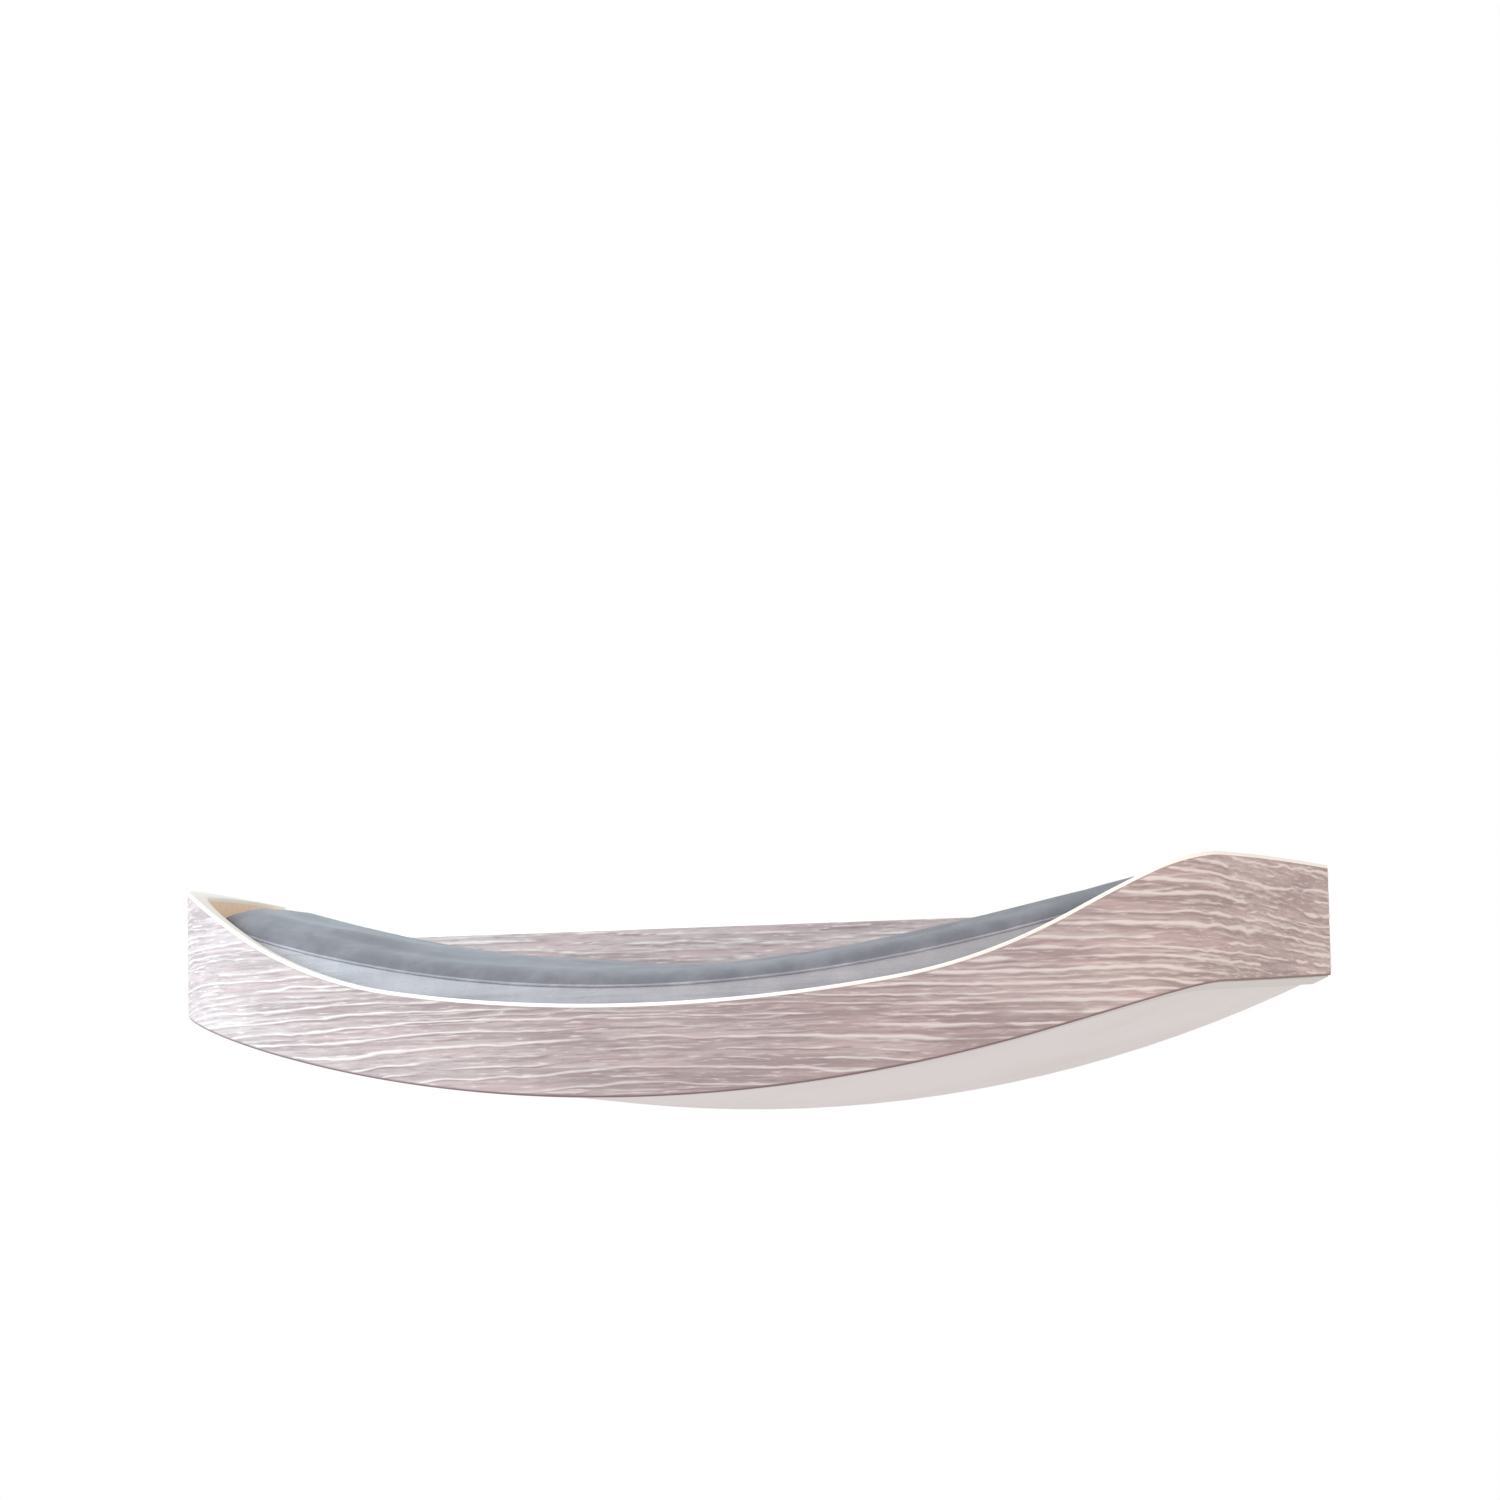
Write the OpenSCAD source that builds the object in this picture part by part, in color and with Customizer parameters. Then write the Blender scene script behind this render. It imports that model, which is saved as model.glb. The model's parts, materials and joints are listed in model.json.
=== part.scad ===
// Bow-fronted wall shelf. A bent plywood band goes round a base that curves up at both ends,
// a back panel is screwed to the wall, and a fitted box cushion lifts out of the tray.
// The wall is the plane y = 0, the front faces -y, and the origin is the middle of the wall screw holes.

/* [Shelf plan] */
// Width across both ends, at the wall
shelf_w = 500; // [460:1:560]
// Depth from the wall to the middle of the bowed front
shelf_d = 270; // [250:1:310]
// Slant of each end, in degrees from square to the wall
end_slant = 8; // [4:0.5:10]
// Outer radius of the two front corners
corner_r = 98; // [80:1:115]
// Degrees that each half of the bowed front turns through
front_turn = 19; // [14:0.5:24]

/* [Rim] */
// Height of the rim at mid front, above the lowest point of the underside
rim_mid_h = 36; // [30:0.5:40]
// Radius of the shallow bowl at the middle of the rim
bowl_r = 655; // [560:5:800]
// Degrees of the bowl on each side of the middle
bowl_turn = 9.3; // [7:0.1:11]
// Radius of the rim where it starts to climb
sweep_r = 206; // [170:2:240]
// Steepest angle of the rim, in degrees
rise_turn = 31; // [26:0.5:34]
// Length of the straight climb
rise_run = 30; // [15:1:36]
// Radius of the crown that levels the rim off towards the wall
crown_r = 113; // [95:1:140]
// How far the band hangs below the base
skirt_h = 2; // [0.5:0.1:4]

/* [Boards] */
// Thickness of the bent plywood band
band_t = 8; // [6:0.5:12]
// Thickness of the laminates
laminate_t = 0.8; // [0.6:0.1:1.5]
// Thickness of the white edging
edging_t = 1.5; // [1:0.1:3]
// Thickness of the curved base with its laminate
base_t = 9; // [8:0.5:12]
// Rise of the underside from its middle to its two ends
base_rise = 55.2; // [46:0.2:62]
// Depth of the groove that holds the base in the band
groove_d = 3; // [2:0.5:4]
// Thickness of the back panel
panel_t = 14; // [12:1:20]
// Height of the back panel's top, above the lowest point of the underside
panel_h = 85; // [80:1:95]

/* [Wall holes] */
// Diameter of the wall screw holes
hole_d = 5.5; // [4:0.5:7]
// Diameter of their countersinks
sink_d = 11; // [9:0.5:13]
// Distance of the left and right holes from the ends of the shelf
hole_in = 80; // [75:1:110]
// Distance between the upper and lower holes
hole_rows = 26; // [20:1:30]
// Height of the middle of the holes, above the lowest point of the underside
hole_h = 58; // [52:1:62]

/* [Corner blocks] */
// Width of each block along the panel and along the end
block_w = 16; // [14:1:20]
// Height of the blocks' tops, above the lowest point of the underside
block_h = 80; // [76:1:83]
// Diameter of the wood screws
screw_d = 3.5; // [3:0.5:4]
// Diameter of their heads
screw_head_d = 7; // [6:0.5:8]
// How far the screws bite into the band and the panel
screw_bite = 5; // [3:0.5:6]

/* [Panel dowels] */
// Number of dowels between the panel and the base
dowel_count = 5; // [3:1:7]
// Diameter of the dowels
dowel_d = 6; // [5:0.5:8]
// Distance between neighbouring dowels
dowel_step = 75; // [60:5:85]
// Depth of the dowels in the base
dowel_in_base = 6; // [4:0.5:7]
// Depth of the dowels in the panel
dowel_in_panel = 18; // [12:1:24]

/* [Cushion] */
// Gap between the cushion and the band
cushion_gap = 4; // [2:0.5:8]
// Gap between the cushion and the back panel, which leaves room for the zip
back_gap = 11; // [10:0.5:16]
// Radius of the cushion's rear corners
rear_r = 42; // [36:1:60]
// Height of the piped seam above the cushion's underside
seam_h = 34; // [28:0.5:40]
// How far the seams are drawn in from the fullest part of the side band
seam_pull = 2.5; // [1:0.1:4]
// Width of the rolled edge of the top panel
roll_w = 24; // [16:1:30]
// Height of the rolled edge above the seam
roll_h = 9; // [6:0.5:12]
// Height of the crown in the middle above the seam
crown_h = 13; // [10:0.5:18]
// Thickness of the cover with its backing
cover_t = 1.2; // [0.8:0.1:2]
// Diameter of the piping
piping_d = 1.8; // [1.4:0.1:3]

/* [Hook and loop strips] */
// Length of each strip
strip_l = 120; // [80:5:160]
// Width of each strip
strip_w = 20; // [16:1:30]
// Distance between the front and the rear strip
strip_span = 120; // [90:5:140]
// Thickness of the loop half on the base
loop_t = 1; // [0.8:0.1:1.5]
// Thickness of the hook half under the cushion
hook_t = 1; // [0.8:0.1:1.5]

/* [Zip] */
// Length of the zip, across the shelf
zip_l = 300; // [240:5:320]
// Width of the zip's tape
tape_w = 22; // [18:1:26]
// Thickness of the tape
tape_t = 0.8; // [0.6:0.1:1]
// Width of the closed coil
coil_w = 5; // [4:0.5:6]
// Thickness of the coil
coil_t = 1.6; // [1.2:0.1:2]
// Length of the slider
slider_l = 11; // [9:0.5:14]
// Width of the slider
slider_w = 9; // [8:0.5:11]
// Thickness of the slider
slider_t = 3.3; // [2.8:0.1:3.6]
// Diameter of the pin that holds the tab
pin_d = 1.6; // [1.2:0.1:2]
// Length of the tab
puller_l = 20; // [16:1:26]
// Width of the tab
puller_w = 6.5; // [6:0.5:8]
// Thickness of the tab
puller_t = 1.2; // [1:0.1:1.5]

/* [Hidden] */
$fn = 96;
// How far cuts run past what they cut
overrun = 5;
// Gap left for glue between boards
glue_gap = 0.1;
// Gap between layers of the cushion, and under what rests without glue
slack = 0.3;
// Running clearance round the zip's pin
pin_play = 0.08;
// Clearance round screws and dowels
hole_play = 0.05;
// Wall of the tab's barrel round its pin
barrel_wall = 0.7;
// Side play of the slider on the coil
coil_play = 0.5;
// Thickness of the slider's ears
ear_t = 1;
// Depth of the screws' cross slots
cross_depth = 0.7;
// Width of the screws' cross slots
cross_w = 0.8;
// Hole in the free end of the tab
tab_hole_d = 2.6;
// Distance of the upper block screw from the block's top
screw_edge = 6;
// Height between the two screws of a block
screw_step = 7.5;
// Rings of the top panel between its rolled edge and its middle, as shares of that edge's size
dome_shares = [0.78, 0.54, 0.28];
// Points along each stretch of the cushion's edge: front, corner, end, rear corner and rear
edge_counts = [7, 7, 3, 5, 5];
// Steps along each half of the bowed front, round a corner, and along each curve of the rim
bow_steps = 14;
bend_steps = 16;
rim_steps = 8;
// Steps up the side band, over the rolled edge and round the piping
side_steps = 4;
roll_steps = 4;
piping_sides = 6;

// Unit vector at an angle from the front, turning towards the right end
function heading(a) = [sin(a), -cos(a)];
// Points on an arc, from one heading to another
function arc(c, r, a_from, a_to, steps) =
    [for (i = [0:steps]) c + r * heading(a_from + (a_to - a_from) * i / steps)];
function rest(list) = [for (i = [1:len(list) - 1]) list[i]];
function reversed(list) = [for (i = [len(list) - 1:-1:0]) list[i]];
// Closes a right half, which starts on the middle line, with its mirror image
function whole(half) = concat(half, [for (p = reversed(rest(half))) [-p.x, p.y]]);

// The plan: the front arc, the corner arcs and the straight ends meet on tangents
half_w = shelf_w / 2;
end_a = 90 - end_slant;
wall_t = band_t + laminate_t;
bow_x = half_w - corner_r * (cos(end_slant) - sin(front_turn));
bow_y = shelf_d - corner_r * (cos(front_turn) - sin(end_slant));
bow_det = sin(front_turn) * cos(end_slant) - sin(end_slant) * (1 - cos(front_turn));
front_r = (bow_x * cos(end_slant) - bow_y * sin(end_slant)) / bow_det;
front_c = [0, front_r - shelf_d];
corner_c = front_c + (front_r - corner_r) * heading(front_turn);
end_reach = corner_c * heading(end_a) + corner_r;
function end_x(inset, y) = (end_reach - inset + y * sin(end_slant)) / cos(end_slant);

// The rim, drawn in the x-z plane: bowl, sweep, straight climb and crown meet on tangents
bowl_c = [0, rim_mid_h + bowl_r];
sweep_c = bowl_c + (bowl_r - sweep_r) * heading(bowl_turn);
climb_end = sweep_c + sweep_r * heading(rise_turn) + rise_run * [cos(rise_turn), sin(rise_turn)];
crown_c = climb_end + crown_r * heading(rise_turn);
rim_top = crown_c.y + crown_r;

// The base: an arc over the shelf's width, and its top surface at a place across the shelf
base_r = (half_w * half_w + base_rise * base_rise) / (2 * base_rise);
top_r = base_r - base_t;
function base_z(x) = base_r - sqrt(top_r * top_r - x * x);

// The panel and the corner blocks
panel_front = panel_t + laminate_t;
hole_span = shelf_w - hole_in * 2;
block_mid_y = -panel_front - block_w / 2;
block_face_x = end_x(wall_t + glue_gap, block_mid_y) - block_w;
screw_l = block_w + screw_bite;
screw_z = [block_h - screw_edge - screw_step, block_h - screw_edge];

// The cushion
lift = loop_t + slack + hook_t;
cushion_inset = wall_t + cushion_gap;
rear_y = -panel_front - back_gap;
rear_c = [end_x(cushion_inset + rear_r, rear_y - rear_r), rear_y - rear_r];
cushion_mid = [0, (rear_y - shelf_d + cushion_inset) / 2];
boxing_top = seam_h - piping_d / 2 - slack;
top_low = seam_h + piping_d / 2 + slack;

// The zip runs on an arc of the base's curve, lifted to the middle of the side band
zip_z = base_r + lift + seam_h / 2;
tape_y = rear_y + slack;
coil_y = tape_y + tape_t;
slider_y = coil_y + slack;
barrel_r = pin_d / 2 + pin_play + barrel_wall;
pin_y = slider_y + slider_t + barrel_r + slack;
slider_a = asin((zip_l / 2 - slider_l) / top_r);
ear_gap = puller_w + slack * 2;

// Puts a shape that is built up from the lowest point of the underside into the part's frame
module from_floor() {
    translate([0, 0, -hole_h]) children();
}

// Carries an outline drawn in the x-z plane from one y to another
module along_y(y_from, y_to) {
    translate([0, y_to, 0]) rotate([90, 0, 0]) linear_extrude(y_to - y_from) children();
}

module through_depth() {
    along_y(-shelf_d - overrun, overrun) children();
}

// A prism over the shelf's whole height
module full_height() {
    translate([0, 0, -skirt_h - overrun]) linear_extrude(rim_top + skirt_h + overrun * 2) children();
}

// The shelf's plan, moved in from its outer face by an inset, up to a line along the wall
module plan(inset, back_y) {
    bow = arc(front_c, front_r - inset, 0, front_turn, bow_steps);
    bend = arc(corner_c, corner_r - inset, front_turn, end_a, bend_steps);
    polygon(whole(concat(bow, rest(bend), [[end_x(inset, back_y), back_y]])));
}

// A wall that follows the plan, open towards the shelf's wall side
module plan_wall(inset, thick) {
    difference() {
        plan(inset, 0);
        plan(inset + thick, overrun);
    }
}

// What the rim's curve leaves open, grown downwards by a thickness
module rim_dip(grow) {
    bowl = arc(bowl_c, bowl_r + grow, 0, bowl_turn, rim_steps);
    sweep = arc(sweep_c, sweep_r + grow, bowl_turn, rise_turn, rim_steps);
    crown = arc(crown_c, grow - crown_r, rise_turn, 0, rim_steps);
    polygon(whole(concat(bowl, rest(sweep), crown, [[crown_c.x, rim_top + overrun]])));
}

// The band's outline seen from the front, with its top edge lowered by a thickness
module rim_outline(lower) {
    difference() {
        intersection() {
            translate([0, base_r]) circle(base_r + skirt_h);
            translate([-half_w - overrun, -skirt_h - overrun])
                square([shelf_w + overrun * 2, rim_top - lower + skirt_h + overrun]);
        }
        rim_dip(lower);
    }
}

module front_window() {
    translate([-half_w - overrun, -overrun]) square([shelf_w + overrun * 2, rim_top + overrun * 2]);
}

// The base's section between two heights above its underside
module base_layer(low, high) {
    difference() {
        intersection() {
            translate([0, base_r]) circle(base_r - low);
            front_window();
        }
        translate([0, base_r]) circle(base_r - high);
    }
}

// A layer over the base, between two heights above its top
module cushion_layer(low, high) {
    difference() {
        intersection() {
            translate([0, base_r + low]) circle(top_r);
            front_window();
        }
        translate([0, base_r + high]) circle(top_r);
    }
}

module front_band() {
    color("tan") from_floor() difference() {
        intersection() {
            full_height() plan_wall(laminate_t, band_t);
            through_depth() rim_outline(edging_t);
        }
        intersection() {
            full_height() plan(wall_t - groove_d, overrun);
            through_depth() base_layer(laminate_t - glue_gap, base_t + glue_gap);
        }
        corner_screw_set(hole_play);
    }
}

module front_laminate() {
    color("rosybrown") from_floor() intersection() {
        full_height() plan_wall(0, laminate_t);
        through_depth() rim_outline(edging_t);
    }
}

module front_edging() {
    color("ivory") from_floor() intersection() {
        full_height() plan_wall(0, wall_t);
        through_depth() difference() {
            rim_outline(0);
            rim_outline(edging_t);
        }
    }
}

module base_board() {
    color("burlywood") from_floor() difference() {
        intersection() {
            full_height() plan(wall_t - groove_d + glue_gap, 0);
            through_depth() base_layer(laminate_t, base_t);
        }
        panel_dowel_set(hole_play);
    }
}

module base_laminate() {
    color("white") from_floor() intersection() {
        full_height() plan(wall_t + glue_gap, 0);
        through_depth() base_layer(0, laminate_t);
    }
}

// One wall screw hole with its countersink in the panel's front
module wall_hole() {
    sink_depth = (sink_d - hole_d) / 2;
    rotate([-90, 0, 0]) {
        translate([0, 0, -panel_front - overrun]) cylinder(d = hole_d, h = panel_front + overrun * 2);
        translate([0, 0, -panel_front]) cylinder(d1 = sink_d, d2 = hole_d, h = sink_depth);
    }
}

module wall_holes() {
    for (x = [-hole_span / 2, hole_span / 2], z = [-hole_rows / 2, hole_rows / 2])
        translate([x, 0, z]) wall_hole();
}

// The panel's outline in front view stands on the base and stops under its edging
module panel_outline(low, high) {
    intersection() {
        translate([0, base_r]) circle(top_r - glue_gap);
        translate([-half_w, low]) square([shelf_w, high - low]);
    }
}

module panel_layer(y_from, y_to, low, high) {
    intersection() {
        full_height() plan(wall_t + glue_gap, 0);
        along_y(y_from, y_to) panel_outline(low, high);
    }
}

module back_panel() {
    color("tan") difference() {
        from_floor() difference() {
            panel_layer(-panel_t, 0, 0, panel_h - edging_t);
            panel_dowel_set(hole_play);
            corner_screw_set(hole_play);
        }
        wall_holes();
    }
}

module back_laminate() {
    color("rosybrown") difference() {
        from_floor() difference() {
            panel_layer(-panel_front, -panel_t, 0, panel_h - edging_t);
            corner_screw_set(hole_play);
        }
        wall_holes();
    }
}

module back_edging() {
    color("ivory") from_floor() panel_layer(-panel_front, 0, panel_h - edging_t, panel_h);
}

module corner_block(side) {
    color("peru") from_floor() difference() {
        intersection() {
            full_height() intersection() {
                plan(wall_t + glue_gap, 0);
                mirror([side < 0 ? 1 : 0, 0]) translate([block_face_x, -panel_front - block_w])
                    square([half_w, block_w - glue_gap]);
            }
            through_depth() panel_outline(0, block_h);
        }
        corner_screw_set(hole_play);
    }
}

module corner_block_left() {
    corner_block(-1);
}

module corner_block_right() {
    corner_block(1);
}

// A countersunk wood screw along +z, with its head at the origin
module wood_screw(play) {
    head_t = (screw_head_d - screw_d) / 2;
    head_r = screw_head_d / 2 + play;
    shank_r = screw_d / 2 + play;
    end = screw_l + play;
    rotate_extrude() polygon([[0, 0], [head_r, 0], [shank_r, head_t], [shank_r, end - shank_r], [0, end]]);
}

module cross_slot() {
    for (turn = [0, 90])
        rotate(turn) translate([-screw_d / 2, -cross_w / 2, -overrun])
            cube([screw_d, cross_w, overrun + cross_depth]);
}

// Places what it is given at each block screw: one into the panel and one into the band on each side
module at_block_screws() {
    for (side = [-1, 1]) {
        translate([side * (block_face_x + block_w / 2), -panel_front - block_w, screw_z[0]])
            rotate([-90, 0, 0]) children();
        translate([side * block_face_x, block_mid_y, screw_z[1]])
            rotate([0, side * 90, 0]) children();
    }
}

module corner_screw_set(play) {
    at_block_screws() wood_screw(play);
}

module corner_screws() {
    color("silver") from_floor() at_block_screws() difference() {
        wood_screw(0);
        cross_slot();
    }
}

module panel_dowel_set(play) {
    for (i = [0:dowel_count - 1]) {
        x = (i - (dowel_count - 1) / 2) * dowel_step;
        translate([x, -panel_t / 2, base_z(x) - dowel_in_base - play])
            cylinder(d = dowel_d + play * 2, h = dowel_in_base + dowel_in_panel + play * 2);
    }
}

module panel_dowels() {
    color("wheat") from_floor() panel_dowel_set(0);
}

// One strip across the shelf near the front and one near the back
module strips(low, high) {
    for (y = [cushion_mid.y - strip_span / 2, cushion_mid.y + strip_span / 2])
        intersection() {
            along_y(y - strip_w / 2, y + strip_w / 2) cushion_layer(low, high);
            translate([-strip_l / 2, -shelf_d, 0]) cube([strip_l, shelf_d, rim_top]);
        }
}

module loop_strips() {
    color("dimgray") from_floor() strips(glue_gap, loop_t);
}

module hook_strips() {
    color("black") from_floor() strips(loop_t + slack, lift - glue_gap);
}

// The cushion's edge in plan, drawn in by an inset from its fullest line, counter-clockwise from mid front
function edge_half(inset) =
    let (bow = front_r - cushion_inset - inset,
         bend = corner_r - cushion_inset - inset,
         back = rear_r - inset,
         end_from = corner_c + bend * heading(end_a),
         end_to = rear_c + back * heading(end_a))
    concat(
        arc(front_c, bow, 0, front_turn, edge_counts[0]),
        rest(arc(corner_c, bend, front_turn, end_a, edge_counts[1])),
        [for (i = [1:edge_counts[2] - 1]) end_from + (end_to - end_from) * i / edge_counts[2]],
        arc(rear_c, back, end_a, 180, edge_counts[3]),
        [for (i = [1:edge_counts[4] - 1]) [rear_c.x * (1 - i / edge_counts[4]), rear_y - inset]]);
function cushion_edge(inset) =
    let (half = edge_half(inset))
    concat(half, [[0, rear_y - inset]], [for (p = reversed(rest(half))) [-p.x, p.y]]);

// A point of the cushion at a height above its underside, which follows the base
function over_base(p, h) = [p.x, p.y, base_z(p.x) + lift + h];
function ring(inset, h) = [for (p = cushion_edge(inset)) over_base(p, h)];
// The same edge shrunk towards the cushion's middle, for the crown
function inner_ring(inset, share, h) =
    [for (p = cushion_edge(inset)) over_base(cushion_mid + (p - cushion_mid) * share, h)];

// The side band is fullest half way up, and drawn in at its seams
function side_inset(h) = seam_pull * (1 - sin(180 * h / seam_h));
function side_rings(depth, low, high) =
    [for (i = [0:side_steps]) let (h = low + (high - low) * i / side_steps) ring(side_inset(h) + depth, h)];
// The top panel rolls over from the seam as a quarter of an ellipse, then rises gently to its middle
function roll_rings(depth) =
    [for (i = [0:roll_steps]) let (a = 90 * i / roll_steps)
        ring(seam_pull + depth + roll_w * (1 - cos(a)), top_low + (roll_h - depth) * sin(a))];
function dome_height(depth, share) = top_low + roll_h - depth + (crown_h - roll_h) * (1 - share * share);
function dome_rings(depth) =
    [for (s = dome_shares) inner_ring(seam_pull + depth + roll_w, s, dome_height(depth, s))];

// Skins a row of equal rings: wrapped into a loop, or closed by a fan over the first and the last ring.
// The first spans can be turned, so that layers which run opposite ways have the same creases.
module skin(rings, wrap, first_tip, last_tip, turned = 0) {
    n = len(rings[0]);
    rows = len(rings);
    spans = wrap ? rows : rows - 1;
    ring_points = [for (r = rings) each r];
    sides = [for (i = [0:spans - 1], j = [0:n - 1])
        let (next = (j + 1) % n, up = ((i + 1) % rows) * n,
             a = i * n + j, b = i * n + next, c = up + j, d = up + next)
        each i < turned ? [[a, c, b], [c, d, b]] : [[a, c, d], [a, d, b]]];
    tips = wrap ? [] : [first_tip, last_tip];
    first_fan = wrap ? [] : [for (j = [0:n - 1]) [rows * n, j, (j + 1) % n]];
    last_row = (rows - 1) * n;
    last_fan = wrap ? [] : [for (j = [0:n - 1]) [rows * n + 1, last_row + (j + 1) % n, last_row + j]];
    polyhedron(concat(ring_points, tips), concat(sides, first_fan, last_fan));
}

module cushion_foam() {
    depth = cover_t + slack;
    floor_rings = [for (s = reversed(dome_shares)) inner_ring(seam_pull + depth, s, depth)];
    rings = concat(floor_rings, side_rings(depth, depth, boxing_top), roll_rings(depth), dome_rings(depth));
    color("khaki") from_floor()
        skin(rings, false, over_base(cushion_mid, depth), over_base(cushion_mid, dome_height(depth, 0)));
}

module cushion_top() {
    inside = concat(roll_rings(cover_t), dome_rings(cover_t));
    rings = concat(reversed(inside), roll_rings(0), dome_rings(0));
    color("slategray") from_floor()
        skin(rings, false, over_base(cushion_mid, dome_height(cover_t, 0)),
            over_base(cushion_mid, dome_height(0, 0)), len(inside) - 1);
}

module cushion_boxing() {
    rings = concat(side_rings(0, 0, boxing_top), reversed(side_rings(cover_t, 0, boxing_top)));
    color("lightslategray") from_floor() skin(rings, true);
}

module cushion_bottom() {
    color("gray") from_floor() intersection() {
        full_height() polygon(cushion_edge(seam_pull + cover_t + slack));
        through_depth() cushion_layer(lift, lift + cover_t);
    }
}

module cushion_piping() {
    r = piping_d / 2;
    middle = seam_pull + cover_t - r;
    rings = [for (i = [0:piping_sides - 1]) let (a = 360 * i / piping_sides)
        ring(middle - r * cos(a), seam_h + r * sin(a))];
    color("thistle") from_floor() skin(rings, true);
}

// A ribbon along the zip's arc, as wide as given and between two depths
module zip_ribbon(width, y_from, y_to) {
    mid = lift + seam_h / 2;
    intersection() {
        along_y(y_from, y_to) cushion_layer(mid - width / 2, mid + width / 2);
        translate([-zip_l / 2, y_from, 0]) cube([zip_l, y_to - y_from, rim_top + overrun]);
    }
}

module zip_tape() {
    color("darkslategray") from_floor() zip_ribbon(tape_w, tape_y, coil_y);
}

module zip_coil() {
    color("black") from_floor() zip_ribbon(coil_w, coil_y, coil_y + coil_t);
}

// Puts a shape at the closed end of the zip: x along the coil, z across it and y out of the tape
module at_slider() {
    translate([0, 0, zip_z]) rotate([0, slider_a, 0]) translate([0, 0, -top_r]) children();
}

module zip_slider() {
    ear_h = pin_y + barrel_r - slider_y;
    channel_w = coil_w + coil_play * 2;
    color("silver") from_floor() at_slider() {
        difference() {
            translate([-slider_l / 2, slider_y, -slider_w / 2]) cube([slider_l, slider_t, slider_w]);
            translate([-slider_l / 2 - overrun, slider_y - overrun, -channel_w / 2])
                cube([slider_l + overrun * 2, overrun + coil_t, channel_w]);
        }
        for (z = [-ear_gap / 2 - ear_t, ear_gap / 2])
            translate([-barrel_r, slider_y, z]) cube([barrel_r * 2, ear_h, ear_t]);
        translate([0, pin_y, -ear_gap / 2 - ear_t]) cylinder(d = pin_d, h = ear_gap + ear_t * 2);
    }
}

module zip_puller() {
    tab_end = puller_l - puller_w / 2;
    color("gainsboro") from_floor() at_slider() translate([0, pin_y, 0]) difference() {
        union() {
            translate([0, 0, -puller_w / 2]) cylinder(r = barrel_r, h = puller_w);
            translate([0, -puller_t / 2, -puller_w / 2]) cube([tab_end, puller_t, puller_w]);
            translate([tab_end, puller_t / 2, 0]) rotate([90, 0, 0]) cylinder(d = puller_w, h = puller_t);
        }
        translate([0, 0, -puller_w / 2 - overrun])
            cylinder(r = pin_d / 2 + pin_play, h = puller_w + overrun * 2);
        translate([tab_end, overrun, 0]) rotate([90, 0, 0]) cylinder(d = tab_hole_d, h = overrun * 2);
    }
}

front_band();
front_laminate();
front_edging();
base_board();
base_laminate();
back_panel();
back_laminate();
back_edging();
corner_block_left();
corner_block_right();
corner_screws();
panel_dowels();
loop_strips();
cushion_foam();
cushion_top();
cushion_boxing();
cushion_bottom();
cushion_piping();
hook_strips();
zip_tape();
zip_coil();
zip_slider();
zip_puller();
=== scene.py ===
"""Looks of a bow-fronted shelf: a bent plywood tray with a relief oak face and a fitted box cushion.

Sizes in the classes are millimetres, measured as on the shelf: x across it, y from its rear (0) to the
front (negative) and z up from the lowest point of the underside. `Pieces` puts finished meshes into the
part's frame.
"""

from __future__ import annotations

import json
import logging
import math
from dataclasses import dataclass, field
from enum import Enum
from typing import Any, Mapping, Sequence, Union

import bpy
import numpy as np
from mathutils import Matrix, Vector

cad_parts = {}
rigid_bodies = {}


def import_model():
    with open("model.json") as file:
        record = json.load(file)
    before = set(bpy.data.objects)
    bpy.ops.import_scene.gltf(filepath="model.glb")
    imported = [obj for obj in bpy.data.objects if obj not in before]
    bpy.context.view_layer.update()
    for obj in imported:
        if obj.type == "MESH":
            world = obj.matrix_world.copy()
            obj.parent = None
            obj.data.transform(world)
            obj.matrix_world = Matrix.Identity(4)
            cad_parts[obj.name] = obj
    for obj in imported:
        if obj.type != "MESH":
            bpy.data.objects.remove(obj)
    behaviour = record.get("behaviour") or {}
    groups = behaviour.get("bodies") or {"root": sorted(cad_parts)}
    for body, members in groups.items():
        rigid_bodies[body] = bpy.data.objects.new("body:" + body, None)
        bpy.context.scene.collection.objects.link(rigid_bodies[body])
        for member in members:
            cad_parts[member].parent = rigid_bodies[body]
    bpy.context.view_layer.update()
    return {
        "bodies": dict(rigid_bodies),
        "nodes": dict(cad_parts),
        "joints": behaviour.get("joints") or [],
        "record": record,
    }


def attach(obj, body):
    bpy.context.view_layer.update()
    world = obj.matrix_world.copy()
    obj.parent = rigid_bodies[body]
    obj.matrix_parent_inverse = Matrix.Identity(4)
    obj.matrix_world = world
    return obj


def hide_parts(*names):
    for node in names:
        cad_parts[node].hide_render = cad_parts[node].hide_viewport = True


LOG = logging.getLogger("shelf")
Array = np.ndarray
Colour = tuple[float, float, float, float]
Value = Union["Sock", float, Sequence[float]]
Triple = tuple[float, float, float]

# The lattice noise's hash: a 32-bit word, and the odd numbers that stir it.
WORD = 0xFFFFFFFF
STIR_X, STIR_Y, STIR_SEED, STIR_AGAIN = 374761393, 668265263, 974634777, 1274126177
TOP_BITS = 0xFFFFFF

# Millimetres in a metre.
PER_METRE = 1000.0


def srgb(red: float, green: float, blue: float) -> Colour:
    """Linear colour of an 8-bit screen colour.

    Args:
        red, green, blue: screen values from 0 to 255.

    Returns:
        The linear colour with an alpha of one.
    """
    parts = [c / 255 for c in (red, green, blue)]
    return tuple(c / 12.92 if c <= 0.04045 else ((c + 0.055) / 1.055) ** 2.4 for c in parts) + (1.0,)


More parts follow.
